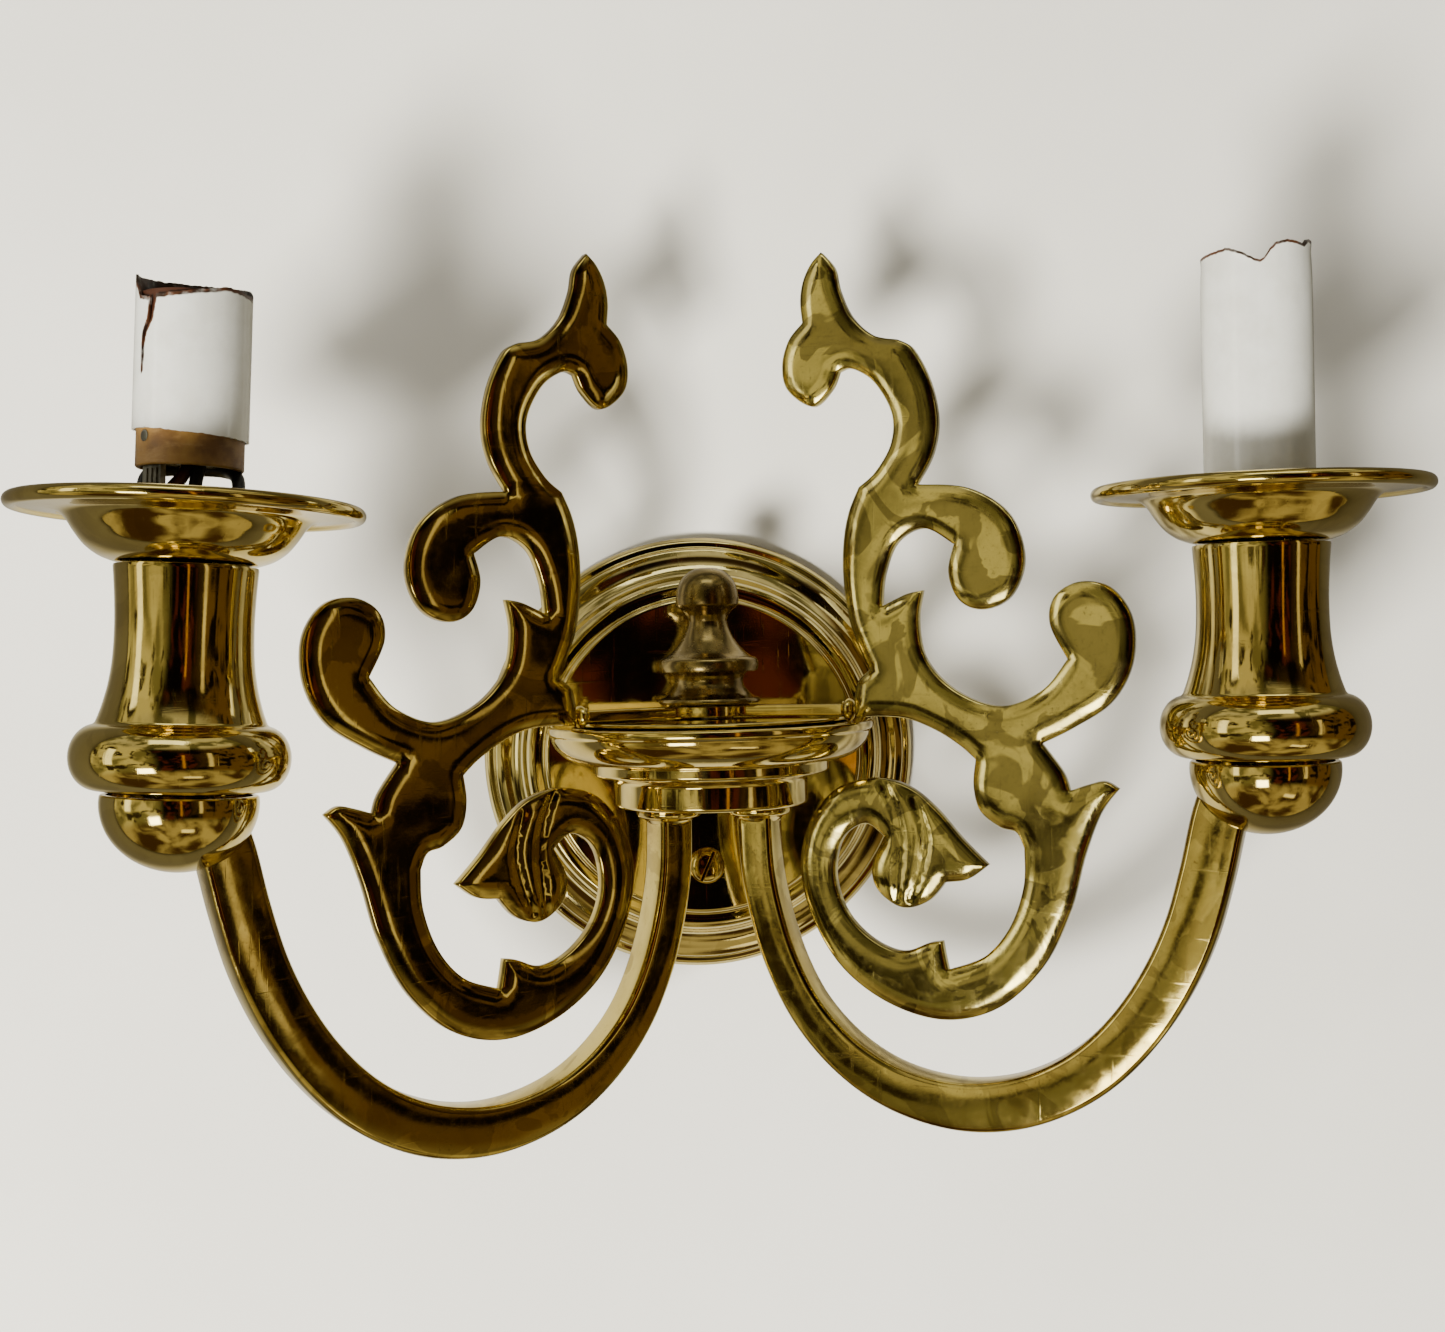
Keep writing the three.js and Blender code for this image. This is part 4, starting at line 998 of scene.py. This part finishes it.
def make_wall():
    """Pale wall with the round hole of its wall box, seen only from the room side; to mirror rays it shows
    a painted shade instead.
    """
    m = Maker("pale wall")
    cloud = m.ramp(m.noise(7, 4, 0.6), 0.3, 0.7)
    base = m.mix(cloud, (0.81, 0.785, 0.7), (0.76, 0.735, 0.65))
    m.finish(Base_Color=base, Roughness=0.85, Normal=m.bump(m.noise(240, 4), 0.0002, 0.3))
    # Painted shade: mirror rays see the wall as a dim brown glow, half of it near the middle and nearly
    # all of it farther out.
    from_middle = m.node("ShaderNodeVectorMath", {0: m.place}, operation="LENGTH").outputs["Value"]
    painted_shade_weight = m.ramp(from_middle, 0.09, 0.24, 0.5, 0.95)
    mirrored = m.times(painted_shade_weight, m.node("ShaderNodeLightPath").outputs["Is Glossy Ray"])
    painted_shade_glow = m.node("ShaderNodeEmission", {"Color": (0.05, 0.04, 0.025, 1.0)}).outputs[0]
    wall_with_painted_shade = m.blend(mirrored, m.shader.outputs[0], painted_shade_glow)
    clear = m.node("ShaderNodeBsdfTransparent").outputs[0]
    from_behind = m.node("ShaderNodeNewGeometry").outputs["Backfacing"]
    m.connect(m.blend(from_behind, wall_with_painted_shade, clear), m.tree.nodes["Material Output"].inputs["Surface"])
    count, reach, hole, below_rim = 64, 4000, 49, 0.6
    verts, faces = [], []
    for i in range(count):
        a = 2 * math.pi * i / count
        verts += [(r * math.cos(a), below_rim, r * math.sin(a)) for r in (hole, reach)]
    for i in range(count):
        j = (i + 1) % count
        faces.append([2 * i, 2 * i + 1, 2 * j + 1, 2 * j])
    mesh = bpy.data.meshes.new("wall")
    mesh.from_pydata([tuple(c * MM for c in v) for v in verts], [], faces)
    if mesh.polygons[0].normal.y > 0:
        mesh.flip_normals()
    wall = linked("wall", mesh)
    mesh.materials.append(m.material)


def area_light(name, place, size, power, tone):
    """A soft light aimed at the wall light; the brass mirrors the room in its place."""
    light = bpy.data.lights.new(name, "AREA")
    light.shape = "RECTANGLE"
    light.size, light.size_y = size
    light.energy = power
    light.color = tone
    lamp = linked(name, light)
    lamp.location = place
    lamp.rotation_mode = "QUATERNION"
    lamp.rotation_quaternion = (-Vector(place)).to_track_quat("-Z", "Z")
    lamp.visible_glossy = False


def heading(turn, rise):
    """Way to a part of the room, in degrees to the left of straight out and up."""
    a, e = math.radians(turn), math.radians(rise)
    return Vector((-math.sin(a) * math.cos(e), -math.cos(a) * math.cos(e), math.sin(e)))


class Room(Nodes):
    """What the polished metal mirrors: a dark room with windows, built in the world's nodes."""

    def along(self, axis):
        inputs = {0: self.place, 1: tuple(axis)}
        return self.node("ShaderNodeVectorMath", inputs, operation="DOT_PRODUCT").outputs["Value"]

    def window(self, turn, rise, half_width, half_height):
        """A soft-edged rectangle of the room, 1 inside; half sizes in degrees."""
        soft = 0.02
        ahead = heading(turn, rise)
        across = ahead.cross(Vector((0, 0, 1))).normalized()
        above = across.cross(ahead)
        mask = self.ramp(self.along(ahead), 0, 0.1)
        for axis, half in ((across, half_width), (above, half_height)):
            reach = math.sin(math.radians(half))
            off = self.math("ABSOLUTE", self.along(axis))
            mask = self.times(mask, self.ramp(off, reach + soft, reach - soft))
        return mask

    def clutter(self, scale, low, high):
        """Cloudy shapes, 0 to 1."""
        return self.ramp(self.noise(scale, 3.0, 0.5, distort=0.6), low, high)

    def glow(self, tone):
        return self.node("ShaderNodeBackground", {"Color": (*tone, 1.0)}).outputs[0]


def make_light():
    """Two soft lights, and a world that shows the room to mirror rays only."""
    area_light("key", (-0.66, -1.3, -0.62), (0.4, 0.34), 70, (1, 0.98, 0.93))
    area_light("side", (-1.45, -0.75, -0.05), (0.7, 0.9), 13, (1, 0.985, 0.96))
    world = bpy.data.worlds.new("room")
    bpy.context.scene.world = world
    world.use_nodes = True
    room = Room(world.node_tree, "Generated")
    tone = room.mix(room.clutter(2.8, 0.42, 0.6), (0.004, 0.002, 0.001), (0.05, 0.028, 0.008))
    olive = room.mix(room.clutter(2.2, 0.42, 0.58), (0.19, 0.17, 0.08), (0.68, 0.61, 0.35))
    # way, where its side of the room starts and is full, its clutter, and the clutter's two tones
    for way, edge, clutter, dark, pale in (
        ((0, -1, 0), (0.8, 0.93), (6, 0.52, 0.6), (0.003, 0.002, 0.001), (0.08, 0.015, 0.004)),
        ((1, 0, 0), (0.55, 0.75), (5, 0.46, 0.53), (0.005, 0.003, 0.001), (0.13, 0.072, 0.018)),
        (heading(62, 0), (0.6, 0.78), (5.5, 0.56, 0.6), olive, (0.03, 0.02, 0.008)),
        ((0, 0, 1), (0.5, 0.68), (2.6, 0.44, 0.56), (0.13, 0.12, 0.06), (0.6, 0.56, 0.42)),
        ((0, 0, -1), (0.34, 0.55), (2.4, 0.34, 0.6), (0.06, 0.03, 0.01), (0.5, 0.41, 0.2)),
    ):
        full = room.ramp(room.along(way), *edge)
        tone = room.mix(full, tone, room.mix(room.clutter(*clutter), dark, pale))
    # turn, rise, half width and half height in degrees, and the window's tone
    for place, pale in (
        ((67, 10, 5, 17), (2.2, 2.1, 1.7)),
        ((-14, 0, 1.2, 18), (0.7, 0.33, 0.06)),
        ((-42, 4, 2.5, 18), (0.9, 0.75, 0.45)),
        ((5, 58, 16, 7), (2.4, 2.4, 2.1)),
        ((-24, -46, 8, 3), (1.6, 1.4, 0.9)),
        ((27, -24, 8, 6.5), (12, 11.6, 10.4)),
    ):
        tone = room.mix(room.window(*place), tone, pale)
    mirrored = room.tree.nodes["Background"]
    room.connect(tone, mirrored.inputs["Color"])
    rays = room.node("ShaderNodeLightPath").outputs
    lit = room.blend(rays["Is Diffuse Ray"], mirrored.outputs[0], room.glow((0.17, 0.16, 0.145)))
    whole = room.blend(rays["Is Camera Ray"], lit, room.glow((1.6, 1.58, 1.54)))
    room.connect(whole, room.tree.nodes["World Output"].inputs["Surface"])


def make_camera():
    """The camera, a little left of the middle and above it."""
    width, height = IMAGE_SIZE
    data = bpy.data.cameras.new("camera")
    data.sensor_width = 36
    data.lens = FOCAL_PIXELS / width * data.sensor_width
    data.shift_x = (width / 2 - IMAGE_CENTRE[0]) / width
    data.shift_y = (IMAGE_CENTRE[1] - height / 2) / width
    data.clip_start, data.clip_end = 0.01, 20
    camera = linked("camera", data)
    ahead = Vector((
        math.sin(CAMERA_YAW) * math.cos(CAMERA_PITCH),
        math.cos(CAMERA_YAW) * math.cos(CAMERA_PITCH),
        math.sin(CAMERA_PITCH)))
    right = Vector((math.cos(CAMERA_YAW), -math.sin(CAMERA_YAW), 0))
    down = ahead.cross(right)
    side = right * math.cos(CAMERA_ROLL) + down * math.sin(CAMERA_ROLL)
    below = down * math.cos(CAMERA_ROLL) - right * math.sin(CAMERA_ROLL)
    turn = Matrix((side, -below, -ahead)).transposed()
    camera.rotation_mode = "QUATERNION"
    camera.rotation_quaternion = turn.to_quaternion()
    camera.location = Vector(CAMERA_PLACE) * MM
    bpy.context.scene.camera = camera


make_backplate()
make_screw("upper", SCREW_HEIGHT)
make_screw("lower", -SCREW_HEIGHT)
make_body()
make_lid()
make_strap()
make_finial()
shape_of_scroll = scroll_shape()
for each in SIDES:
    make_arm(each)
    make_scroll(each, shape_of_scroll)
    make_cup_ball(each)
    make_candle_cup(each)
    make_drip_pan(each)
    make_liner(each)
    make_socket(each)
    make_lead(each, "black", 1)
    make_lead(each, "red", -1)
make_sleeves()
dress_cad_nodes()
make_wall()
make_light()
make_camera()
